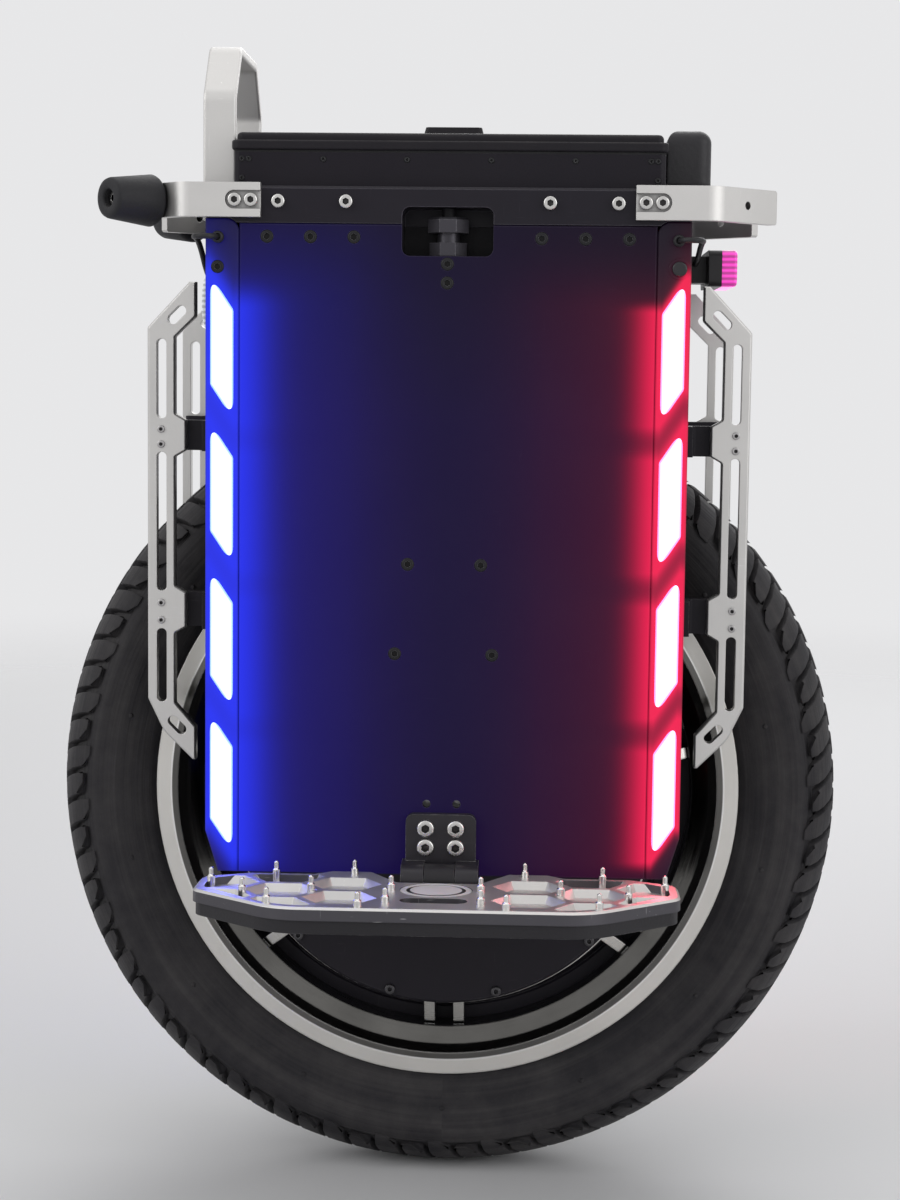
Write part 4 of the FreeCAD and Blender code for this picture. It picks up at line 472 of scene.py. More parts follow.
def make_lamp_field(lights):
    """Distance to the slanted light windows, inside below zero, with the glow round them: the lamps' light on the posts
    and panels, painted in as emission.
    """
    near_reach, near_share = (0.020, 0.0135), (0.62, 0.80)
    far_reach, far_share = 0.045, (0.22, 0.08)
    gap_fall, end_fall = (1.2, 2.3), (1.7, 3.0)
    wash_colour = (0.12, 0.01, 1, 1)
    tree, given, out = new_group("lamp_field", (("Blue", COLOUR, (0, 0, 1, 1)), ("Red", COLOUR, (1, 0, 0, 1)),
                                                ("Strength", FLOAT, 1.0)),
                                 (("Inside", FLOAT), ("Glow", COLOUR), ("Tint", COLOUR)))
    x, y, z = parts(tree, object_place(tree))
    rear = sums(tree, "GREATER_THAN", x, 0.0)

    def each_end(front_value, rear_value):
        return ramp(tree, rear, 0.0, 1.0, front_value, rear_value)

    def outside(value, middle, half):
        """How far a value lies outside a band, below zero inside it."""
        return sums(tree, "SUBTRACT", sums(tree, "ABSOLUTE", sums(tree, "SUBTRACT", value, middle)), half)

    # The windows stand one below the other, with slanted ends
    across = sums(tree, "SUBTRACT", sums(tree, "ABSOLUTE", x), WINDOW_ACROSS)
    within = sums(tree, "MINIMUM", sums(tree, "MAXIMUM", across, -WINDOW_HALF), WINDOW_HALF)
    level = sums(tree, "SUBTRACT", z, sums(tree, "MULTIPLY", within, lights.lean))
    step = sums(tree, "ROUND", sums(tree, "DIVIDE", sums(tree, "SUBTRACT", WINDOW_TOP, level), WINDOW_PITCH))
    step = sums(tree, "MINIMUM", sums(tree, "MAXIMUM", step, 0.0), WINDOW_COUNT - 1)
    wide = outside(across, 0.0, WINDOW_HALF)
    tall = outside(level, sums(tree, "SUBTRACT", WINDOW_TOP, sums(tree, "MULTIPLY", step, WINDOW_PITCH)), lights.tall)
    tree.links.new(sums(tree, "MAXIMUM", wide, sums(tree, "MULTIPLY", tall, 0.55)), out["Inside"])

    # The way from the nearest window, flat in the middle of a gap and steep past the ends of the row
    widest = WINDOW_PITCH / 2 - lights.tall
    gap = sums(tree, "MINIMUM", sums(tree, "MAXIMUM", tall, 0.0), widest)
    gap = sums(tree, "SUBTRACT", gap, sums(tree, "DIVIDE", sums(tree, "POWER", gap, 2.0), 2 * widest))
    gap = sums(tree, "MULTIPLY", gap, each_end(*gap_fall))
    row = (WINDOW_COUNT - 1) * WINDOW_PITCH / 2
    ends = outside(level, WINDOW_TOP - row, row + lights.tall)
    gap = sums(tree, "MAXIMUM", gap, sums(tree, "MULTIPLY", ends, each_end(*end_fall)))
    aside = sums(tree, "POWER", sums(tree, "MAXIMUM", wide, 0.0), 2.0)
    away = sums(tree, "SQRT", sums(tree, "ADD", aside, sums(tree, "POWER", gap, 2.0)))

    # Painted light: a near glow round each window, a far one over the panel and a faint wash over all of it, all
    # standing for the lamps' light
    share = sums(tree, "DIVIDE", away, each_end(*near_reach))
    near = sums(tree, "EXPONENT", sums(tree, "MULTIPLY", sums(tree, "POWER", share, 2.0), -1.0))
    far = sums(tree, "EXPONENT", sums(tree, "DIVIDE", away, -far_reach))
    far = sums(tree, "MULTIPLY", far, ramp(tree, sums(tree, "ABSOLUTE", x), 0.0, 0.06))
    light = sums(tree, "ADD", sums(tree, "MULTIPLY", near, each_end(*near_share)),
                 sums(tree, "MULTIPLY", far, each_end(*far_share)))
    wash = sums(tree, "MULTIPLY", ramp(tree, x, -0.12, 0.12, 0.045, 0.012), ramp(tree, z, 0.50, 0.63, 1.0, 0.3))

    # Only the outward faces of posts and panels show it
    sideways = ramp(tree, sums(tree, "ABSOLUTE", parts(tree, surface_normal(tree))[1]), 0.30, 0.85)
    shown = sums(tree, "MULTIPLY", ramp(tree, sums(tree, "ABSOLUTE", y), 0.080, 0.092), sideways)
    shown = sums(tree, "MULTIPLY", shown, given["Strength"])
    tint = colours(tree, rear, given["Blue"], given["Red"])
    lit = colours(tree, sums(tree, "MULTIPLY", light, shown), BLACK, tint)
    washed = colours(tree, sums(tree, "MULTIPLY", wash, shown), BLACK, wash_colour)
    tree.links.new(tint, out["Tint"])
    tree.links.new(put(tree, "ShaderNodeVectorMath", {0: lit, 1: washed}, operation="ADD").outputs[0], out["Glow"])


def new_material(name, metallic=0.0, specular=0.5):
    """An empty material with its shader, whose even values are set on the shader itself."""
    material = bpy.data.materials.new(name)
    material.use_nodes = True
    shader = material.node_tree.nodes["Principled BSDF"]
    shader.inputs["Metallic"].default_value = metallic
    shader.inputs["Specular IOR Level"].default_value = specular
    shader.inputs["IOR"].default_value = 1.5
    return material, material.node_tree, shader


def finish(name, colour, rough, metallic=0.0, specular=0.5, vary=0.18, grain=900.0, relief=0.00006, edge=0.0008,
           wear=(0.3, 0.3, 0.3), worn=0.5, line=0.0, socket_shade=0.0, shade=0.0, walls=None, scratch=0.0, dust=0.0,
           lines=None, glow=None):
    """A worn, grained finish: uneven colour, rubbed edges with a painted highlight line along them, socket faces
    darkened as painted shade, hollows darkened as painted shade, dark walls, hairlines, dust and fine relief.
    """
    shade_colour, socket_shade_colour, dust_colour = (0.10, 0.098, 0.10, 1), (0.012, 0.011, 0.012, 1), (0.20, 0.185, 0.17, 1)
    material, tree, shader = new_material(name, metallic, specular)
    place = object_place(tree)
    cloud = noise(tree, place, 14.0, 4.0, 0.6)
    fine = noise(tree, stretched(tree, lines), 1.0) if lines else noise(tree, place, grain)
    base = colours(tree, cloud, rgba(colour, 1 - vary), rgba(colour, 1 + vary))
    base = colours(tree, sums(tree, "MULTIPLY", fine, 0.5 * vary), base, rgba(colour, 1 - 1.6 * vary))
    edges = use_group(tree, "edge_wear", {"Radius": edge})
    rubbed_and_highlit = sums(tree, "MULTIPLY", edges["Mask"], worn)
    # Painted highlight: an unbroken light line along every edge, in the wear colour
    if line:
        rubbed_and_highlit = sums(tree, "MAXIMUM", rubbed_and_highlit, sums(tree, "MULTIPLY", edges["Edge"], line))
    base = colours(tree, rubbed_and_highlit, base, rgba(wear))
    if walls:
        upright = sums(tree, "ABSOLUTE", parts(tree, put(tree, "ShaderNodeTexCoord").outputs["Normal"])[2])
        base = colours(tree, ramp(tree, upright, 0.40, 0.20), base, rgba(walls))
    # Painted shade: hollows that ambient occlusion finds are darkened
    if shade:
        sky = put(tree, "ShaderNodeAmbientOcclusion", {"Distance": 0.006}, samples=6).outputs["AO"]
        base = colours(tree, ramp(tree, sky, 0.95, 0.55, 0.0, shade), base, shade_colour)
    # Painted shade: the faces inside a screw's socket are darkened
    if socket_shade:
        hollow = put(tree, "ShaderNodeAttribute", attribute_name="socket").outputs["Fac"]
        base = colours(tree, sums(tree, "MULTIPLY", hollow, socket_shade), base, socket_shade_colour)
    roughness = sums(tree, "ADD", spread(tree, cloud, rough * 0.88, rough * 1.12), spread(tree, fine, -0.05, 0.05))
    height = fine
    if scratch:
        marks = sums(tree, "MULTIPLY", use_group(tree, "hairlines")["Mask"], scratch)
        base = colours(tree, marks, base, rgba(wear, 1.2))
        height = sums(tree, "SUBTRACT", height, marks)
    if dust:
        dirt = use_group(tree, "settled_dust", {"Amount": dust})["Mask"]
        base = colours(tree, dirt, base, dust_colour)
        roughness = sums(tree, "ADD", roughness, sums(tree, "MULTIPLY", dirt, 0.4))
    fill_in(tree, shader, {"Base Color": base, "Roughness": roughness,
                           "Normal": raised(tree, relief, height, edges["Normal"])})
    # Painted light: the lamps' glow on posts and panels, given as emission
    if glow:
        field = use_group(tree, "lamp_field", {"Blue": rgba(glow.blue), "Red": rgba(glow.red), "Strength": glow.glow})
        fill_in(tree, shader, {"Emission Color": field["Glow"], "Emission Strength": 1.0})
    return material


def lamp_lens(name, settings):
    """Milky window of a side light: an overbright core and a deeper colour along its edge."""
    material, tree, shader = new_material(name, specular=0.4)
    field = use_group(tree, "lamp_field", {"Blue": rgba(settings.blue), "Red": rgba(settings.red)})
    core = ramp(tree, field["Inside"], -0.0006, -0.0030)
    grain = noise(tree, object_place(tree), 120.0, 2.0)
    pale = colours(tree, spread(tree, grain, 0.16, 0.20), field["Tint"], WHITE)
    fill_in(tree, shader, {"Base Color": colours(tree, 0.35, (0.8, 0.8, 0.8, 1), field["Tint"]),
                           "Roughness": spread(tree, grain, 0.24, 0.34),
                           "Emission Color": colours(tree, core, field["Tint"], pale),
                           "Emission Strength": 11.0})
    return material


def glass_lens(name, colour, glow, strength):
    """Moulded lens with fine flutes."""
    material, tree, shader = new_material(name)
    grain = noise(tree, object_place(tree), 90.0, 2.0)
    flutes = put(tree, "ShaderNodeTexWave", {"Vector": object_place(tree), "Scale": 90.0, "Distortion": 0.4},
                 bands_direction="Z").outputs["Fac"]
    edges = use_group(tree, "edge_wear", {"Radius": 0.0006})
    fill_in(tree, shader, {
        "Base Color": colours(tree, ramp(tree, flutes, 0.2, 0.8), rgba(colour, 0.75), rgba(colour)),
        "Roughness": spread(tree, grain, 0.08, 0.2),
        "Emission Color": colours(tree, ramp(tree, flutes, 0.1, 0.9), rgba(glow, 0.30), rgba(glow)),
        "Emission Strength": strength,
        "Normal": raised(tree, 0.0003, flutes, edges["Normal"])})
    return material


def rim_alloy(settings):
    """Cast rim: satin lip with a painted highlight line at its inner edge, a barrel coloured dark as a painted
    reflection of dark surroundings, satin spokes and black pockets painted as shade between them, with turned lines
    round the axle.
    """
    dust_colour, pocket_shade_colour = (0.22, 0.20, 0.18, 1), (0.016, 0.015, 0.018, 1)
    material, tree, shader = new_material("rim_alloy")
    wheel = use_group(tree, "wheel_place")
    radius = wheel["Radius"]
    lines = noise(tree, wheel["Place"], 1500.0)
    cloud = noise(tree, object_place(tree), 20.0, 4.0)
    lip = ramp(tree, radius, LIP_RADIUS, LIP_RADIUS + 0.0006)
    lip_highlight = sums(tree, "MULTIPLY", ramp(tree, radius, LIP_RADIUS - 0.0006, LIP_RADIUS),
                ramp(tree, radius, LIP_RADIUS + 0.0010, LIP_RADIUS + 0.0004))
    spokes = ramp(tree, radius, SPOKE_END + 0.0005, SPOKE_END - 0.0005)
    # Painted reflection: inside the lip the barrel is coloured dark, standing for the dark surroundings its polish
    # reflects
    base = colours(tree, lip, rgba(settings.rim, 0.17), rgba(settings.rim, 1.08))
    # Painted highlight: a thin bright line at the lip's inner edge
    base = colours(tree, lip_highlight, base, BARE_METAL_AND_HIGHLIGHT)
    base = colours(tree, spokes, base, rgba(settings.rim, 0.95))
    base = colours(tree, ramp(tree, cloud, 0.35, 0.75, 0.0, 0.2), base, rgba(settings.rim, 0.55))
    edges = use_group(tree, "edge_wear", {"Radius": 0.0012})
    base = colours(tree, sums(tree, "MULTIPLY", edges["Edge"], 0.60), base, BARE_METAL_AND_HIGHLIGHT)
    base = colours(tree, use_group(tree, "settled_dust", {"Amount": 0.35})["Mask"], base, dust_colour)
    sideways = sums(tree, "ABSOLUTE", parts(tree, surface_normal(tree))[1])
    # Painted shade: the pockets between the spokes are painted black, standing for the shade seen there
    pocket_shade = sums(tree, "MULTIPLY", ramp(tree, radius, BARREL_RADIUS + 0.0005, BARREL_RADIUS - 0.0003),
                  ramp(tree, sideways, 0.6, 0.3))
    pocket_shade = sums(tree, "MULTIPLY", pocket_shade, ramp(tree, radius, HUB_RADIUS - 0.0005, HUB_RADIUS))
    base = colours(tree, pocket_shade, base, pocket_shade_colour)
    rough = sums(tree, "ADD", ramp(tree, lip, 0.0, 1.0, 0.15, 0.36), spread(tree, lines, -0.05, 0.07))
    rough = sums(tree, "ADD", rough, sums(tree, "MULTIPLY", sums(tree, "MAXIMUM", spokes, pocket_shade), 0.14))
    fill_in(tree, shader, {"Base Color": base, "Metallic": sums(tree, "SUBTRACT", 1.0, pocket_shade), "Roughness": rough,
                           "Normal": raised(tree, 0.00003, lines, edges["Normal"])})
    return material


def tyre_rubber(settings):
    """Rubber with moulded rings on the wall, lug edges lightened as a painted highlight and a film of dust."""
    lug_highlight_colour, dust_colour = (0.085, 0.082, 0.084, 1), (0.115, 0.108, 0.105, 1)
    material, tree, shader = new_material("tyre_rubber", specular=0.20)
    place = object_place(tree)
    wheel = use_group(tree, "wheel_place")
    cloud = noise(tree, place, 16.0, 5.0, 0.65)
    fine = noise(tree, place, 1300.0)
    rings = spread(tree, noise(tree, wheel["Place"], 420.0, 2.0), 0.0, 1.0)
    base = colours(tree, cloud, rgba(settings.rubber, 0.72), rgba(settings.rubber, 1.35))
    lugs = ramp(tree, wheel["Radius"], settings.radius - 0.020, settings.radius - 0.013)
    edges = use_group(tree, "edge_wear", {"Radius": 0.0011, "Patch": 30.0})
    # Painted highlight: the lugs' edges are lightened
    lug_edge_highlight = sums(tree, "MULTIPLY", lugs, sums(tree, "MULTIPLY", edges["Edge"], 0.35))
    base = colours(tree, lug_edge_highlight, base, lug_highlight_colour)
    streak = ramp(tree, noise(tree, wheel["Place"], 130.0, 5.0, 0.65), 0.42, 0.78)
    blotch = ramp(tree, noise(tree, place, 26.0, 6.0, 0.7), 0.40, 0.75)
    base = colours(tree, sums(tree, "MULTIPLY", sums(tree, "ADD", streak, blotch), 0.27), base, dust_colour)
    rough = sums(tree, "ADD", spread(tree, cloud, 0.56, 0.72), spread(tree, fine, -0.06, 0.06))
    height = sums(tree, "ADD", sums(tree, "MULTIPLY", fine, 0.35), sums(tree, "MULTIPLY", rings, 0.65))
    fill_in(tree, shader, {"Base Color": base, "Roughness": rough,
                           "Normal": raised(tree, 0.00022, height, edges["Normal"])})
    return material


def disc_enamel(settings, place):
    """Enamel in rings: light rim, dark ring and a bare light middle."""
    ring_inner, ring_outer, ring_edge = 0.72 * settings.disc, 0.845 * settings.disc, 0.015 * settings.disc
    material, tree, shader = new_material("disc_enamel_" + ("left" if place[1] < 0 else "right"))
    offset = put(tree, "ShaderNodeVectorMath", {0: object_place(tree), 1: place}, operation="SUBTRACT").outputs[0]
    away = put(tree, "ShaderNodeVectorMath", {0: offset}, operation="LENGTH").outputs["Value"]
    dark = sums(tree, "MULTIPLY", ramp(tree, away, ring_inner, ring_inner + ring_edge),
                ramp(tree, away, ring_outer, ring_outer - ring_edge))
    fine = noise(tree, object_place(tree), 900.0)
    base = colours(tree, dark, rgba(settings.light), rgba(settings.dark))
    scuffs = sums(tree, "MULTIPLY", use_group(tree, "hairlines")["Mask"], 0.15)
    fill_in(tree, shader, {"Base Color": colours(tree, scuffs, base, (0.35, 0.35, 0.35, 1)),
                           "Roughness": spread(tree, fine, 0.28, 0.34),
                           "Normal": raised(tree, 0.000003, fine)})
    return material


def striped_wrap(name, colour, seam):
    """Shrink wrap with soft folds and a lighter seam."""
    material, tree, shader = new_material(name)
    folds = put(tree, "ShaderNodeTexWave", {"Vector": object_place(tree), "Scale": 30.0, "Distortion": 6.0,
                                            "Detail": 3.0}).outputs["Fac"]
    fill_in(tree, shader, {"Base Color": colours(tree, ramp(tree, folds, 0.55, 0.95), rgba(colour), rgba(seam)),
                           "Roughness": ramp(tree, folds, 0.0, 1.0, 0.25, 0.45),
                           "Normal": raised(tree, 0.0004, folds)})
    return material


# Places of the frame's own screws

def solids_of(node):
    """The separate solids of a node, each as a list of its corner points."""
    steps_per_metre = 20000
    mesh = NODES[node].data
    owner = {}

    def root(key):
        while owner[key] != key:
            owner[key] = owner[owner[key]]
            key = owner[key]
        return key

    keys = [tuple(round(value * steps_per_metre) for value in vertex.co) for vertex in mesh.vertices]
    for key in keys:
        owner.setdefault(key, key)
    for polygon in mesh.polygons:
        first = root(keys[polygon.vertices[0]])
        for index in polygon.vertices[1:]:
            owner[root(keys[index])] = first
    solids = {}
    for key, vertex in zip(keys, mesh.vertices):
        solids.setdefault(root(key), []).append(vertex.co.copy())
    return list(solids.values())


def box_of(points):
    """Lowest and highest corner of a set of points."""
    return [Vector([end(point[axis] for point in points) for axis in range(3)]) for end in (min, max)]


def screw_of(points):
    """Head centre, direction out of the head, head radius, head height and whole length of one screw."""
    slender, rim_share, tolerance = 1.6, 0.9, 1e-5
    low, high = box_of(points)
    size = high - low
    axis = 0 if size.x > slender * size.y else 1
    if size.z > slender * max(size.x, size.y):
        axis = 2
    middle = (low + high) / 2

    def reach(point):
        return math.hypot(*(point[other] - middle[other] for other in range(3) if other != axis))

    radius = max(reach(point) for point in points)
    head = [point[axis] for point in points if reach(point) > rim_share * radius]
    side = 1 if abs(max(head) - high[axis]) < abs(min(head) - low[axis]) else -1
    if abs(max(head) - high[axis]) < tolerance and abs(min(head) - low[axis]) < tolerance:
        side = 1 if middle[axis] > 0 else -1
    out = Vector([side if other == axis else 0 for other in range(3)])
    top = middle.copy()
    top[axis] = high[axis] if side > 0 else low[axis]
    return top, out, radius, max(head) - min(head), size[axis]


def socket_screw(name, radius, height, length, settings):
    """Screw with a rounded head, a hexagon socket and a shank, its head's top at the origin and looking up."""
    shank_inset, least_shank, socket_taper = 0.42 * radius, 0.0002, 0.92
    height = min(height, 0.9 * radius) if height > 0.98 * length else height
    clear_selection()
    bpy.ops.mesh.primitive_cylinder_add(vertices=30, radius=radius, depth=height, location=(0, 0, -height / 2))
    screw = active_piece(name)
    bpy.ops.object.transform_apply(location=True)
    open_mesh(screw)
    pick(screw, "faces", lambda face: face.normal.z < -0.9)
    bpy.ops.mesh.inset(thickness=shank_inset)
    bpy.ops.mesh.extrude_region_move(TRANSFORM_OT_translate={"value": (0, 0, min(height - length, -least_shank))})
    pick(screw, "edges", lambda edge: all(vertex.co.z > -1e-6 for vertex in edge.verts))
    bpy.ops.mesh.bevel(offset=min(settings.rounding * radius, height * 0.6), segments=3, affect="EDGES")
    close_mesh()
    bpy.ops.mesh.primitive_cylinder_add(vertices=6, radius=settings.socket * radius, depth=height * 1.5)
    socket = active_piece("socket_cutter")
    open_mesh(socket)
    pick(socket, "faces", lambda face: face.normal.z < -0.9)
    bpy.ops.transform.resize(value=(socket_taper, socket_taper, 1))
    close_mesh()
    select_only(screw)
    cut = screw.modifiers.new("socket", "BOOLEAN")
    cut.operation = "DIFFERENCE"
    cut.object = socket
    bpy.ops.object.modifier_apply(modifier="socket")
    remove_piece(socket)
    # Marks the faces inside the socket, which the finishes darken as painted shade
    hollow = screw.data.attributes.new("socket", "FLOAT", "FACE")
    for face in screw.data.polygons:
        reach = max(screw.data.vertices[index].co.xy.length for index in face.vertices)
        hollow.data[face.index].value = float(reach < settings.socket * radius * 1.01)
    return screw


def facing(top, out):
    """Matrix that carries a piece that looks up to a place and a direction."""
    return Matrix.Translation(top) @ Vector((0, 0, 1)).rotation_difference(Vector(out)).to_matrix().to_4x4()


def set_screws(node, name, settings):
    """Socket screws in place of a node's plain ones, one model for each size."""
    models = {}
    copies = []
    for points in solids_of(node):
        top, out, radius, height, length = screw_of(points)
        size = (round(radius, 4), round(height, 4), round(length, 4))
        if size not in models:
            models[size] = socket_screw(name + "_model", radius, height, length, settings)
        copies.append(copy_piece(models[size], facing(top, out)))
    for model in models.values():
        remove_piece(model)
    piece = join_pieces(copies, name)
    smooth_piece(piece)
    return piece


# Operators, one for each group of pieces

class UNICYCLE_OT_finishes(bpy.types.Operator):
    """Give every carried piece its worn, grained finish"""
    bl_idname = "unicycle.finishes"
    bl_label = "Finishes"

    def execute(self, context):
        own = context.scene.unicycle_finish
        screws = context.scene.unicycle_screws
        for make in (make_edge_wear, make_hairlines, make_settled_dust, make_wheel_place):
            make()
        make_lamp_field(context.scene.unicycle_lights)
        pale = (0.82, 0.81, 0.80)
        grey = (0.16, 0.16, 0.165)
        looks = {
            "black_rubber": dict(colour=(0.018, 0.018, 0.019), rough=0.72, specular=0.25, wear=grey, worn=0.25,
                                 relief=0.00012, dust=0.2),
            "black_metal": dict(colour=(0.014, 0.012, 0.017), rough=0.44, specular=0.20, wear=(0.42, 0.42, 0.42),
                                worn=0.35, relief=0.00005, dust=0.2, scratch=0.05),
            "screw_steel": dict(colour=(0.42, 0.41, 0.41), rough=0.34, metallic=1.0, wear=pale, worn=0.6,
                                grain=1600.0, relief=0.00002, edge=0.0003, socket_shade=0.95),
            "bolt_steel": dict(colour=screws.bright, rough=0.26, metallic=1.0, wear=pale, worn=0.6, grain=1600.0,
                               relief=0.00002, edge=0.0003, scratch=0.3, socket_shade=0.95),
            "black_screw": dict(colour=screws.black, rough=0.30, specular=0.18, wear=(0.36, 0.36, 0.37), worn=0.4,
                                line=0.55, grain=1600.0, relief=0.00002, edge=0.0004, socket_shade=0.9),
            "cover_screw": dict(colour=(0.07, 0.068, 0.072), rough=0.34, metallic=0.8, wear=(0.42, 0.42, 0.43),
                                worn=0.5, line=0.6, grain=1600.0, relief=0.00002, edge=0.0005, socket_shade=0.9),
            "magnet": dict(colour=(0.38, 0.37, 0.36), rough=0.3, metallic=1.0, wear=pale, relief=0.00003),
            "core_iron": dict(colour=(0.28, 0.27, 0.26), rough=0.42, metallic=1.0, wear=pale, lines=(60, 3200, 60)),
            "winding_copper": dict(colour=(0.62, 0.24, 0.09), rough=0.28, metallic=1.0, wear=(0.9, 0.5, 0.3),
                                   lines=(1500, 300, 1500), relief=0.0002),
            "frame_alloy": dict(colour=(0.50, 0.50, 0.50), rough=0.36, metallic=1.0, wear=pale, grain=1300.0,
                                scratch=0.3, dust=0.2),
            "case_plastic": dict(colour=(0.013, 0.012, 0.015), rough=0.55, specular=0.2, wear=grey, worn=0.3,
                                 relief=0.0001, dust=0.3),
            "panel_plastic": dict(colour=own.panel, rough=0.50, specular=0.07, wear=(0.16, 0.145, 0.19), worn=0.35,
                                  line=0.4, grain=1500.0, relief=0.00004, edge=0.0007, scratch=0.03, dust=0.12,
                                  glow=own),
            "post_plastic": dict(colour=(0.011, 0.010, 0.014), rough=0.42, specular=0.16, wear=grey, worn=0.25,
                                 grain=1200.0, relief=0.00004, dust=0.12, glow=own),
            "knob_alloy": dict(colour=(0.055, 0.052, 0.062), rough=0.38, metallic=0.6, wear=(0.5, 0.5, 0.52),
                               worn=0.6, edge=0.0007, scratch=0.2),
            "circuit_board": dict(colour=(0.02, 0.12, 0.05), rough=0.4, wear=(0.5, 0.4, 0.1), vary=0.3, grain=260.0,
                                  relief=0.00015),
            "button_plastic": dict(colour=(0.015, 0.014, 0.017), rough=0.30, specular=0.45, wear=grey, worn=0.4,
                                   edge=0.0009),
            "rail_metal": dict(colour=(0.014, 0.012, 0.018), rough=0.38, specular=0.20, wear=(0.33, 0.31, 0.37),
                               worn=0.5, line=0.45, grain=1500.0, relief=0.00003, dust=0.15, scratch=0.05),
            "box_plastic": dict(colour=(0.013, 0.011, 0.016), rough=0.42, specular=0.16, wear=grey, worn=0.3,
                                line=0.2, relief=0.00007, dust=0.22),
            "lid_plastic": dict(colour=(0.013, 0.0115, 0.015), rough=0.48, specular=0.18, wear=grey, worn=0.4,
                                relief=0.0001, dust=0.35, scratch=0.08),
            "arm_alloy": dict(colour=own.alloy, rough=0.46, metallic=1.0, wear=pale, worn=0.6, vary=0.10,
                              grain=2200.0, relief=0.00003, edge=0.0007, scratch=0.35, dust=0.08, shade=0.75),
            "handle_alloy": dict(colour=own.alloy, rough=0.50, metallic=1.0, wear=pale, worn=0.6, vary=0.10,
                                 grain=2200.0, relief=0.00003, edge=0.0012, scratch=0.45, dust=0.08),
            "guard_alloy": dict(colour=own.alloy, rough=0.38, metallic=1.0, wear=pale, worn=0.6, vary=0.10,
                                lines=(1500, 1500, 40), relief=0.00003, edge=0.0007, scratch=0.35, dust=0.08),
            "bumper_rubber": dict(colour=(0.018, 0.018, 0.021), rough=0.62, specular=0.3, wear=grey, worn=0.4,
                                  grain=700.0, relief=0.00012, edge=0.0014, dust=0.25),
            "block_rubber": dict(colour=(0.022, 0.021, 0.024), rough=0.46, specular=0.35, wear=grey, worn=0.3,
                                 grain=420.0, relief=0.0002, edge=0.002, dust=0.2),
            "lamp_plastic": dict(colour=(0.013, 0.012, 0.014), rough=0.34, specular=0.4, wear=grey, worn=0.3,
                                 dust=0.15),
            "hanger_metal": dict(colour=(0.019, 0.017, 0.022), rough=0.36, specular=0.42, wear=(0.62, 0.61, 0.60),
                                 worn=0.75, edge=0.0007, grain=1400.0, scratch=0.12, dust=0.15),
            "pedal_alloy": dict(colour=own.pedal, rough=0.42, metallic=0.80, wear=(0.9, 0.9, 0.88), worn=0.7,
                                walls=(0.085, 0.082, 0.092), vary=0.08, lines=(1700, 34, 34), relief=0.00002,
                                edge=0.0008, scratch=0.5, dust=0.1),
            "pedal_black": dict(colour=(0.016, 0.015, 0.018), rough=0.48, specular=0.32, wear=(0.4, 0.4, 0.4),
                                worn=0.5, grain=700.0, relief=0.00012, dust=0.15, scratch=0.08),
            "stud_steel": dict(colour=(0.70, 0.69, 0.67), rough=0.2, metallic=1.0, wear=pale, worn=0.5, grain=1600.0,
                               relief=0.00002, edge=0.0004),
        }
        FINISHES.update({name: finish(name, **look) for name, look in looks.items()})
        FINISHES.update({
            "rim_alloy": rim_alloy(own),
            "tyre_rubber": tyre_rubber(context.scene.unicycle_tyre),
            "battery_wrap": striped_wrap("battery_wrap", (0.05, 0.11, 0.30), (0.10, 0.19, 0.42)),
            "lens_blue": lamp_lens("lens_blue", own),
            "lens_red": lamp_lens("lens_red", own),
            "tail_lens": glass_lens("tail_lens", (0.9, 0.1, 0.5), own.tail, 0.62),
            "head_lens": glass_lens("head_lens", (0.86, 0.88, 0.90), (0.9, 0.95, 1.0), 0.25),
        })
        for node in NODES.values():
            for place in node.material_slots:
                place.material = FINISHES[place.material.name.split(".")[0]]
        return {"FINISHED"}


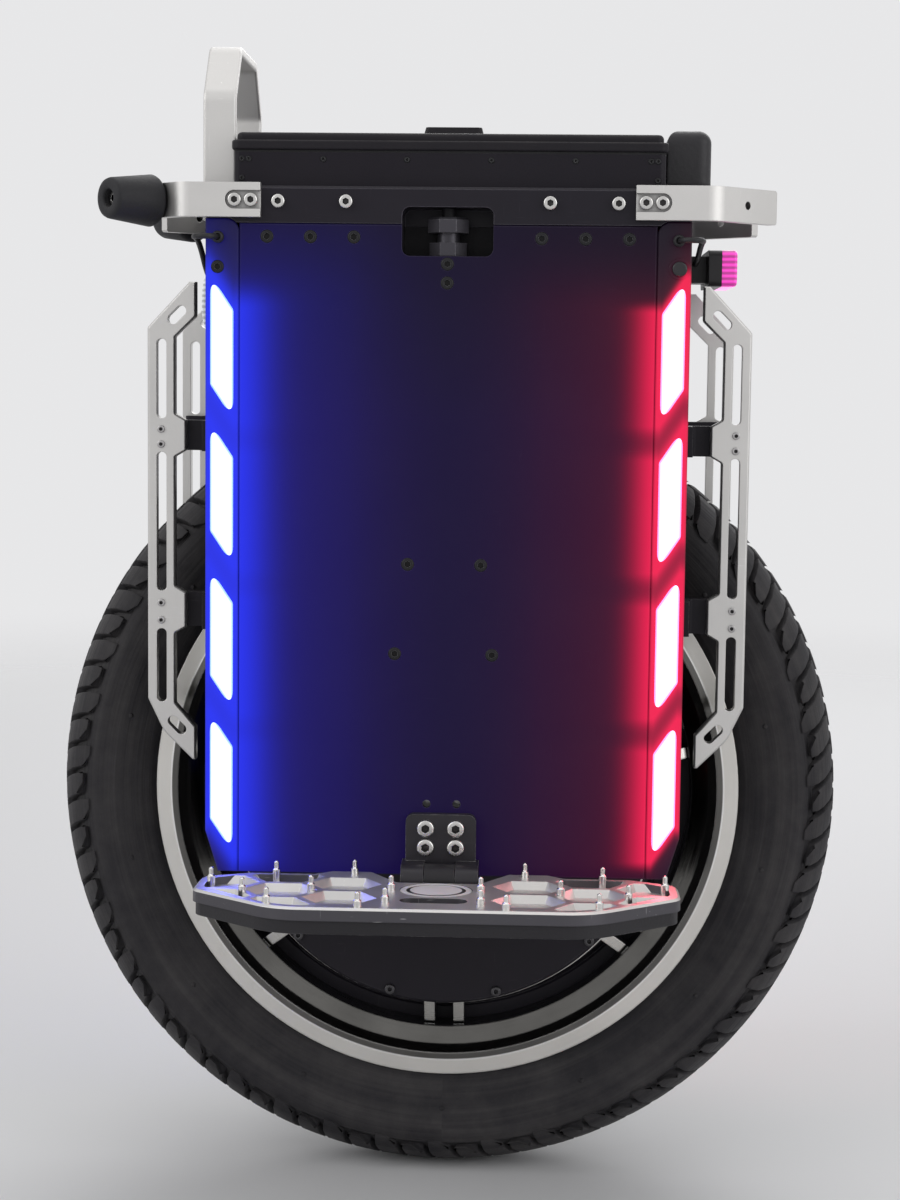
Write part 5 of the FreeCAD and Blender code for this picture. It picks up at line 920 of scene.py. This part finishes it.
class UNICYCLE_OT_tyre(bpy.types.Operator):
    """Model the tyre with its lugs, wall and beads"""
    bl_idname = "unicycle.tyre"
    bl_label = "Tyre"

    def execute(self, context):
        own = context.scene.unicycle_tyre
        turn = 2 * math.pi / own.pitches
        pitch = turn * own.radius
        lean_line, shoulder, sunk, foot_reach = 0.0145, 0.035, 0.0085, 0.0006
        pip_count, pip_radius, pip_height, pip_rim, pip_crown = 14, 0.0013, 0.0016, 0.0004, 0.0003

        def crown(y):
            return own.radius - own.crown + math.sqrt(own.crown ** 2 - y ** 2)

        def spot(y, radius, along=0.0):
            angle = along / own.radius
            return (radius * math.sin(angle), y, AXLE_HEIGHT + radius * math.cos(angle))

        wall = [(0.0132, 0.179), (0.0237, 0.179), (0.0237, 0.1913), (0.029, 0.1913), (0.0313, 0.1935), (0.0330, 0.1965),
                (0.0334, 0.1978), (0.0341, 0.1990), (0.0352, 0.2020), (0.0366, 0.2060), (0.0384, 0.2120),
                (0.0397, 0.2190), (0.0402, 0.2250), (0.0401, 0.2290), (0.0395, 0.2325), (0.0388, 0.2336),
                (0.0384, 0.2352), (0.0366, 0.2365)]
        base = [(y, crown(y) - own.groove) for y in (0.030, 0.022, 0.014, 0.007)]
        half = wall + base
        liner = [(0.022, 0.238), (0.0335, 0.222), (0.0200, 0.196), (0.0132, 0.190)]
        outer = half + [(0.0, own.radius - own.groove)] + [(-y, radius) for y, radius in reversed(half)]
        inner = [(-y, radius) for y, radius in reversed(liner)] + [(0.0, 0.2435)] + liner
        carcass = draw_outline("tyre", [spot(*point) for point in outer + inner], False)
        bpy.ops.mesh.spin(steps=180, angle=2 * math.pi, center=AXLE, axis=AROUND)
        close_mesh()

        lugs = []

        def low_corner(point, foot):
            """The corners along a lug's foot on the tyre's wall."""
            return abs(point.y) > shoulder and math.hypot(point.x, point.z - AXLE_HEIGHT) < foot + foot_reach

        def lug(points, start, length, foot):
            section = [spot(y, radius, start + own.slant * abs(abs(y) - lean_line)) for y, radius in points]
            piece = draw_outline("lug", section, True)
            bpy.ops.mesh.spin(steps=2, angle=length / own.radius, center=AXLE, axis=AROUND)
            close_mesh()
            open_mesh(piece)
            if foot:
                near = sorted(vertex.co.x for vertex in piece.data.vertices if low_corner(vertex.co, foot))
                third = near[len(near) // 3]
                pick(piece, "verts", lambda vertex: low_corner(vertex.co, foot) and vertex.co.x < third)
                bpy.ops.transform.translate(value=(0, 0, own.tooth))
            bpy.ops.mesh.select_mode(type="EDGE")
            bpy.ops.mesh.select_all(action="DESELECT")
            bpy.ops.mesh.edges_select_sharp(sharpness=math.radians(32))
            bpy.ops.mesh.bevel(offset=own.bevel, segments=2, affect="EDGES", clamp_overlap=True)
            close_mesh()
            lugs.append(piece)

        length = pitch / 2 - own.gap
        for side in (1, -1):
            for start, foot in ((0.0, 0.2345), (pitch / 2, 0.2385)):
                out = [(0.0150, crown(0.0150)), (0.0220, crown(0.0220)), (0.0300, crown(0.0300)),
                       (0.0358, crown(0.0358) - 0.0003), (0.0388, crown(0.0375) - 0.0035), (0.0399, foot)]
                deep = [(0.0355, foot - 0.0008), (0.0330, 0.2352), (0.0240, crown(0.0240) - sunk),
                        (0.0150, crown(0.0150) - sunk)]
                lug([(side * y, radius) for y, radius in out + deep], start, length, foot)
        for start in (pitch * 0.25, pitch * 0.75):
            row = [(y, crown(y)) for y in (0.0115, 0.0060, 0.0, -0.0060, -0.0115)]
            deep = [(-y, crown(y) - sunk) for y, _ in row]
            lug(row + deep, start, length, None)

        pattern = join_pieces(lugs, "lugs")
        open_mesh(pattern)
        bpy.ops.mesh.select_all(action="SELECT")
        bpy.ops.mesh.spin(steps=own.pitches - 1, dupli=True, angle=turn * (own.pitches - 1), center=AXLE,
                          axis=AROUND)
        bpy.ops.object.mode_set(mode="OBJECT")

        pips = []
        for side in (1, -1):
            clear_selection()
            bpy.ops.mesh.primitive_cylinder_add(vertices=10, radius=pip_radius, depth=pip_height,
                                                location=spot(side * 0.0383, 0.2118), rotation=(math.pi / 2, 0, 0))
            pip = active_piece("pip")
            bpy.ops.object.transform_apply(location=True, rotation=True)
            open_mesh(pip)
            pick(pip, "faces", lambda face: face.normal.y * side > 0.9)
            bpy.ops.mesh.inset(thickness=pip_rim)
            bpy.ops.transform.translate(value=(0, side * pip_crown, 0))
            bpy.ops.mesh.select_all(action="SELECT")
            bpy.ops.mesh.spin(steps=pip_count - 1, dupli=True, angle=2 * math.pi * (pip_count - 1) / pip_count,
                              center=AXLE, axis=AROUND)
            bpy.ops.object.mode_set(mode="OBJECT")
            pips.append(pip)
        tyre = join_pieces([carcass, pattern] + pips, "tyre_tread")
        smooth_piece(tyre, 32)
        dress(tyre, FINISHES["tyre_rubber"], "wheel", "tyre_rubber", "tyre")
        return {"FINISHED"}


class UNICYCLE_OT_spoke_web(bpy.types.Operator):
    """Model the thin black web that closes the wheel between its spokes, a dark sheet that stands for the shade seen
    there (painted shade)
    """
    bl_idname = "unicycle.spoke_web"
    bl_label = "Spoke web"

    def execute(self, context):
        own = context.scene.unicycle_web
        rib = own.thickness * 0.7
        half = own.thickness / 2
        middle = (own.inner + own.outer) / 2
        section = [(own.inner, -half), (own.inner, half), (middle - rib, half), (middle, half + rib),
                   (middle + rib, half), (own.outer, half), (own.outer, -half), (middle + rib, -half),
                   (middle, -half - rib), (middle - rib, -half)]
        web = draw_outline("spoke_web", [(0, y, AXLE_HEIGHT + radius) for radius, y in section], False)
        bpy.ops.mesh.spin(steps=120, angle=2 * math.pi, center=AXLE, axis=AROUND)
        close_mesh()
        smooth_piece(web, 30)
        dress(web, FINISHES["black_metal"], "wheel", "black_metal")
        return {"FINISHED"}


class UNICYCLE_OT_screws(bpy.types.Operator):
    """Model the socket screws of the cases, frame, hangers, guards and motor"""
    bl_idname = "unicycle.screws"
    bl_label = "Screws"

    def execute(self, context):
        own = context.scene.unicycle_screws
        for node, finish_name, body, slot in (("case_screws", "black_screw", "chassis", "black_screw"),
                                              ("frame_bolts", "bolt_steel", "chassis", "bolt_steel"),
                                              ("hanger_bolts", "bolt_steel", "chassis", "bolt_steel"),
                                              ("guard_screws", "screw_steel", "chassis", "screw_steel"),
                                              ("motor_cover_screws", "cover_screw", "wheel", "screw_steel")):
            piece = set_screws(node, node.replace("bolts", "socket_bolts").replace("screws", "socket_screws"), own)
            dress(piece, FINISHES[finish_name], body, slot, node)
        return {"FINISHED"}


class UNICYCLE_OT_lights(bpy.types.Operator):
    """Model the milky leaning windows of the side lights"""
    bl_idname = "unicycle.lights"
    bl_label = "Side lights"

    def execute(self, context):
        own = context.scene.unicycle_lights
        for end, slot in (("front", "lens_blue"), ("rear", "lens_red")):
            node = "light_lenses_" + end
            windows = [self.window(own, points) for points in solids_of(node)]
            piece = join_pieces(windows, "light_windows_" + end)
            smooth_piece(piece, 40)
            dress(piece, FINISHES[slot], "chassis", slot, node)
        return {"FINISHED"}

    def window(self, own, points):
        """One window over its opening, with long slanted ends."""
        low, high = box_of(points)
        middle = (low + high) / 2
        side = 1 if middle.y > 0 else -1
        outer, inner = (high.x, low.x) if middle.x > 0 else (low.x, high.x)
        face = (high.y if side > 0 else low.y) - side * own.proud / 2
        front = face + side * own.proud
        rise = own.lean * (high.x - low.x) / 2
        corners = [(inner, own.tall - rise), (outer, own.tall + rise), (outer, rise - own.tall),
                   (inner, -own.tall - rise)]
        window = draw_outline("light_window", [(x, face, middle.z + z) for x, z in corners], True)
        for corner, length in ((0, own.soft), (1, own.blunt), (2, own.soft), (3, own.blunt)):
            x, z = corners[corner]
            pick(window, "verts", lambda vertex: (vertex.co - Vector((x, face, middle.z + z))).length < 1e-5)
            bpy.ops.mesh.bevel(offset=length, segments=7, affect="VERTICES")
        bpy.ops.mesh.select_all(action="SELECT")
        bpy.ops.mesh.extrude_region_move(TRANSFORM_OT_translate={"value": (0, side * own.proud, 0)})
        pick(window, "edges", lambda edge: all(abs(vertex.co.y - front) < 1e-6 for vertex in edge.verts))
        bpy.ops.mesh.bevel(offset=own.proud * 0.4, segments=2, affect="EDGES")
        close_mesh()
        return window


class UNICYCLE_OT_bumpers(bpy.types.Operator):
    """Model the rubber bumpers with rounded rims and a bolt in each tip"""
    bl_idname = "unicycle.bumpers"
    bl_label = "Bumpers"

    def execute(self, context):
        own = context.scene.unicycle_bumpers
        head, length = 0.0034, 0.006
        model = self.cone(own)
        bolt = socket_screw("bumper_bolt_model", own.hole * 0.86, head, length, context.scene.unicycle_screws)
        cones, bolts = [], []
        for place in self.places():
            cones.append(copy_piece(model, place))
            bolts.append(copy_piece(bolt, place @ Matrix.Translation((0, 0, own.length - own.sink + head))))
        remove_piece(model)
        remove_piece(bolt)
        piece = join_pieces(cones, "bumper_cones")
        smooth_piece(piece, 50)
        dress(piece, FINISHES["bumper_rubber"], "chassis", "bumper_rubber", "rubber_bumpers")
        piece = join_pieces(bolts, "bumper_bolts")
        smooth_piece(piece)
        dress(piece, FINISHES["bolt_steel"], "chassis", "bolt_steel")
        return {"FINISHED"}

    def places(self):
        """Foot of each bumper and the way it points, from the flat foot of each carried solid."""
        mesh = NODES["rubber_bumpers"].data
        feet = {}
        for face in mesh.polygons:
            key = tuple(round(value, 2) for value in face.normal)
            feet.setdefault(key, []).append(face)
        largest = sorted(feet.values(), key=lambda faces: -sum(face.area for face in faces))[:2]
        for faces in largest:
            area = sum(face.area for face in faces)
            middle = sum((face.center * face.area for face in faces), Vector()) / area
            yield facing(middle, -faces[0].normal)

    def cone(self, own):
        """One bumper, standing at the origin and pointing up."""
        rim = 0.0024
        section = [(own.base - rim, 0), (own.base - rim * 0.3, rim * 0.3), (own.base, rim),
                   (own.tip, own.length - rim), (own.tip - rim * 0.3, own.length - rim * 0.3),
                   (own.tip - rim, own.length),
                   (own.hole + rim * 0.6, own.length), (own.hole + rim * 0.15, own.length - rim * 0.2),
                   (own.hole, own.length - rim * 0.7), (own.hole, own.length - own.sink),
                   (own.hole * 0.5, own.length - own.sink), (own.hole * 0.5, 0)]
        piece = draw_outline("bumper_model", [(radius, 0, z) for radius, z in section], False)
        bpy.ops.mesh.spin(steps=64, angle=2 * math.pi, center=(0, 0, 0), axis=(0, 0, 1))
        close_mesh()
        return piece


class UNICYCLE_OT_leads(bpy.types.Operator):
    """Lay the leads from the light posts into the lamp housings"""
    bl_idname = "unicycle.leads"
    bl_label = "Light leads"

    def execute(self, context):
        own = context.scene.unicycle_leads
        material = finish("lead_jacket", own.jacket, 0.5, specular=0.35, wear=(0.1, 0.1, 0.1), worn=0.2, grain=1200.0,
                          relief=0.00005, dust=0.15)
        start = ((0.141, -0.093), (0.141, -0.107), (0.156, -0.107), (0.156, -0.078))
        rear_end = [(0.1563, -0.030, 0.600), (0.1563, -0.014, 0.600)]
        front_end = [(-0.153, -0.058, 0.586), (-0.153, -0.042, 0.586)]
        routes = {
            "rear_light_lead": [(x, y, LEAD_HEIGHT) for x, y in start] + rear_end,
            "front_light_lead": [(-x, y, LEAD_HEIGHT) for x, y in start] + front_end,
        }
        tubes = []
        for name, route in routes.items():
            curve = bpy.data.curves.new(name, "CURVE")
            curve.dimensions = "3D"
            curve.resolution_u = 16
            curve.bevel_depth = own.thickness / 2
            curve.bevel_resolution = 5
            curve.use_fill_caps = True
            spline = curve.splines.new("NURBS")
            spline.points.add(len(route) - 1)
            for point, place in zip(spline.points, route):
                point.co = (*place, 1.0)
            spline.order_u = 3
            spline.use_endpoint_u = True
            tube = bpy.data.objects.new(name, curve)
            context.scene.collection.objects.link(tube)
            select_only(tube)
            bpy.ops.object.convert(target="MESH")
            tubes.append(active_piece(name))
            tubes.append(self.collar(own, route[0][0]))
        piece = join_pieces(tubes, "light_lead_tubes")
        smooth_piece(piece, 50)
        dress(piece, material, "chassis", "black_rubber", "light_leads")
        return {"FINISHED"}

    def collar(self, own, x):
        """Rubber collar round a lead on the post's outer face."""
        thick, lip, throat, depth = 0.0024, 0.0012, 0.0004, 0.0014
        clear_selection()
        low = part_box("light_posts_rear")[0][1]
        bpy.ops.mesh.primitive_cylinder_add(vertices=32, radius=own.collar / 2, depth=thick,
                                            location=(x, low - thick / 2, LEAD_HEIGHT), rotation=(math.pi / 2, 0, 0))
        collar = active_piece("lead_collar")
        bpy.ops.object.transform_apply(location=True, rotation=True)
        open_mesh(collar)
        pick(collar, "faces", lambda face: face.normal.y < -0.9)
        bpy.ops.mesh.inset(thickness=lip)
        bpy.ops.transform.translate(value=(0, -lip, 0))
        bpy.ops.mesh.inset(thickness=throat)
        bpy.ops.mesh.extrude_region_move(TRANSFORM_OT_translate={"value": (0, depth, 0)})
        close_mesh()
        return collar


class UNICYCLE_OT_pedal_trim(bpy.types.Operator):
    """Set an enamelled disc and a screw into each pedal"""
    bl_idname = "unicycle.pedal_trim"
    bl_label = "Pedal trim"

    def execute(self, context):
        own = context.scene.unicycle_pedals
        head, height, length = 0.0042, 0.0026, 0.0034
        for name, side in (("left", -1), ("right", 1)):
            plate = NODES["pedal_plate_" + name]
            place, normal = self.seat(plate, 0, side * own.disc_place)
            disc = self.disc(own, place, normal)
            dress(disc, disc_enamel(own, place), "pedal_" + name, "pedal_alloy")
            disc.name = "pedal_disc_" + name
            x, y = own.screw_place
            place, normal = self.seat(plate, x, side * y)
            model = socket_screw("pedal_screw_model", head, height, length, context.scene.unicycle_screws)
            screw = copy_piece(model, facing(place + normal * height, normal))
            remove_piece(model)
            screw.name = "pedal_screw_" + name
            smooth_piece(screw)
            dress(screw, FINISHES["bolt_steel"], "pedal_" + name, "bolt_steel")
        return {"FINISHED"}

    def seat(self, plate, x, y):
        """Point and normal of the face that a pedal plate shows from above at a place."""
        above = 0.3
        found, place, normal, _ = plate.ray_cast((x, y, above), (0, 0, -1))
        if not found:
            raise RuntimeError("The pedal plate has no face at %.3f, %.3f." % (x, y))
        return place, normal

    def disc(self, own, place, normal):
        """Disc with a raised rim, a sunk ring and a slightly crowned middle."""
        thick = 0.0010
        clear_selection()
        bpy.ops.mesh.primitive_cylinder_add(vertices=72, radius=own.disc, depth=thick, location=(0, 0, thick / 2))
        disc = active_piece("pedal_disc_model")
        bpy.ops.object.transform_apply(location=True)
        open_mesh(disc)
        pick(disc, "faces", lambda face: face.normal.z > 0.9)
        for inset, rise in ((0.0003, 0.0002), (own.disc * 0.14, 0.0), (0.0002, -0.0003), (own.disc * 0.10, 0.0),
                            (0.0002, 0.0003), (own.disc * 0.3, 0.0001)):
            bpy.ops.mesh.inset(thickness=inset)
            if rise:
                bpy.ops.transform.translate(value=(0, 0, rise))
        close_mesh()
        piece = copy_piece(disc, facing(place, normal))
        remove_piece(disc)
        smooth_piece(piece, 30)
        return piece


class UNICYCLE_OT_stage(bpy.types.Operator):
    """Set up the floor, the soft lamps, the backdrop and the camera"""
    bl_idname = "unicycle.stage"
    bl_label = "Stage"

    def execute(self, context):
        own = context.scene.unicycle_stage
        scene = context.scene
        floor_gap, aim = 0.0005, Vector((0, 0, 0.35))
        scene.view_settings.view_transform = "Standard"
        clear_selection()
        bpy.ops.mesh.primitive_circle_add(vertices=96, radius=own.reach, fill_type="NGON",
                                          location=(0, 0, CAD_BOX[0][2] - floor_gap))
        floor = active_piece("floor")
        bpy.ops.object.transform_apply(location=True)
        material, tree, shader = new_material("pale_floor", specular=0.15)
        cloud = noise(tree, object_place(tree), 1.3)
        away = put(tree, "ShaderNodeVectorMath", {0: object_place(tree)}, operation="LENGTH").outputs["Value"]
        near, far = own.reach * 0.22, own.reach * 0.9
        values = {"Value": away, "From Min": near, "From Max": far, "To Min": 1.0, "To Max": 0.0}
        fade = put(tree, "ShaderNodeMapRange", values, interpolation_type="SMOOTHSTEP")
        fill_in(tree, shader, {"Base Color": colours(tree, cloud, rgba(own.floor, 0.985), rgba(own.floor, 1.015)),
                               "Roughness": spread(tree, cloud, 0.6, 0.7), "Alpha": fade.outputs[0]})
        floor.data.materials.append(material)

        world = bpy.data.worlds.new("studio")
        world.use_nodes = True
        scene.world = world
        tree = world.node_tree
        ray = put(tree, "ShaderNodeLightPath").outputs
        seen = sums(tree, "MAXIMUM", sums(tree, "MAXIMUM", ray["Is Camera Ray"], ray["Is Glossy Ray"]),
                    ray["Is Transmission Ray"])
        fill_in(tree, tree.nodes["Background"], {"Color": rgba(own.sky),
                                                 "Strength": ramp(tree, seen, 0.0, 1.0, 0.42, 1.0)})

        for name, place, size, watts in (("key", (-2.5, -1.7, 2.0), 2.4, 34), ("fill", (2.2, -1.7, 1.3), 2.2, 24),
                                         ("back", (0.6, 2.2, 2.1), 2.2, 36), ("top", (0.0, 0.3, 2.7), 2.4, 12)):
            lamp = bpy.data.lights.new(name, "AREA")
            lamp.energy = watts
            lamp.size = size
            stand = bpy.data.objects.new(name, lamp)
            scene.collection.objects.link(stand)
            stand.matrix_world = facing(Vector(place), Vector(place) - aim)

        pitch, yaw, roll = own.turn
        ahead = Vector((math.sin(yaw) * math.cos(pitch), math.cos(yaw) * math.cos(pitch), -math.sin(pitch)))
        right = ahead.cross(Vector((0, 0, 1))).normalized()
        down = ahead.cross(right)
        right, down = (math.cos(roll) * right + math.sin(roll) * down, -math.sin(roll) * right + math.cos(roll) * down)
        camera = bpy.data.cameras.new("camera")
        camera.lens = own.lens
        camera.sensor_width = 36
        stand = bpy.data.objects.new("camera", camera)
        scene.collection.objects.link(stand)
        turn = Matrix((right, -down, -ahead)).transposed().to_4x4()
        stand.matrix_world = Matrix.Translation(own.place) @ turn
        scene.camera = stand
        return {"FINISHED"}


class UNICYCLE_PT_pieces(bpy.types.Panel):
    """The unicycle's pieces and their settings"""
    bl_idname = "UNICYCLE_PT_pieces"
    bl_label = "Unicycle"
    bl_space_type = "VIEW_3D"
    bl_region_type = "UI"
    bl_category = "Unicycle"

    def draw(self, context):
        for operator, pointer, _ in PIECES:
            box = self.layout.box()
            box.operator(operator.bl_idname)
            settings = getattr(context.scene, pointer)
            for key in settings.__annotations__:
                box.prop(settings, key)


PIECES = (
    (UNICYCLE_OT_finishes, "unicycle_finish", FinishSettings),
    (UNICYCLE_OT_tyre, "unicycle_tyre", TyreSettings),
    (UNICYCLE_OT_spoke_web, "unicycle_web", WebSettings),
    (UNICYCLE_OT_screws, "unicycle_screws", ScrewSettings),
    (UNICYCLE_OT_lights, "unicycle_lights", LightSettings),
    (UNICYCLE_OT_bumpers, "unicycle_bumpers", BumperSettings),
    (UNICYCLE_OT_leads, "unicycle_leads", LeadSettings),
    (UNICYCLE_OT_pedal_trim, "unicycle_pedals", PedalSettings),
    (UNICYCLE_OT_stage, "unicycle_stage", StageSettings),
)


def register():
    for operator, pointer, settings in PIECES:
        bpy.utils.register_class(settings)
        setattr(bpy.types.Scene, pointer, bpy.props.PointerProperty(type=settings))
        bpy.utils.register_class(operator)
    bpy.utils.register_class(UNICYCLE_PT_pieces)


def unregister():
    bpy.utils.unregister_class(UNICYCLE_PT_pieces)
    for operator, pointer, settings in reversed(PIECES):
        bpy.utils.unregister_class(operator)
        delattr(bpy.types.Scene, pointer)
        bpy.utils.unregister_class(settings)


def main():
    register()
    bpy.ops.unicycle.finishes()
    bpy.ops.unicycle.tyre()
    bpy.ops.unicycle.spoke_web()
    bpy.ops.unicycle.screws()
    bpy.ops.unicycle.lights()
    bpy.ops.unicycle.bumpers()
    bpy.ops.unicycle.leads()
    bpy.ops.unicycle.pedal_trim()
    bpy.ops.unicycle.stage()


if __name__ == "__main__":
    main()
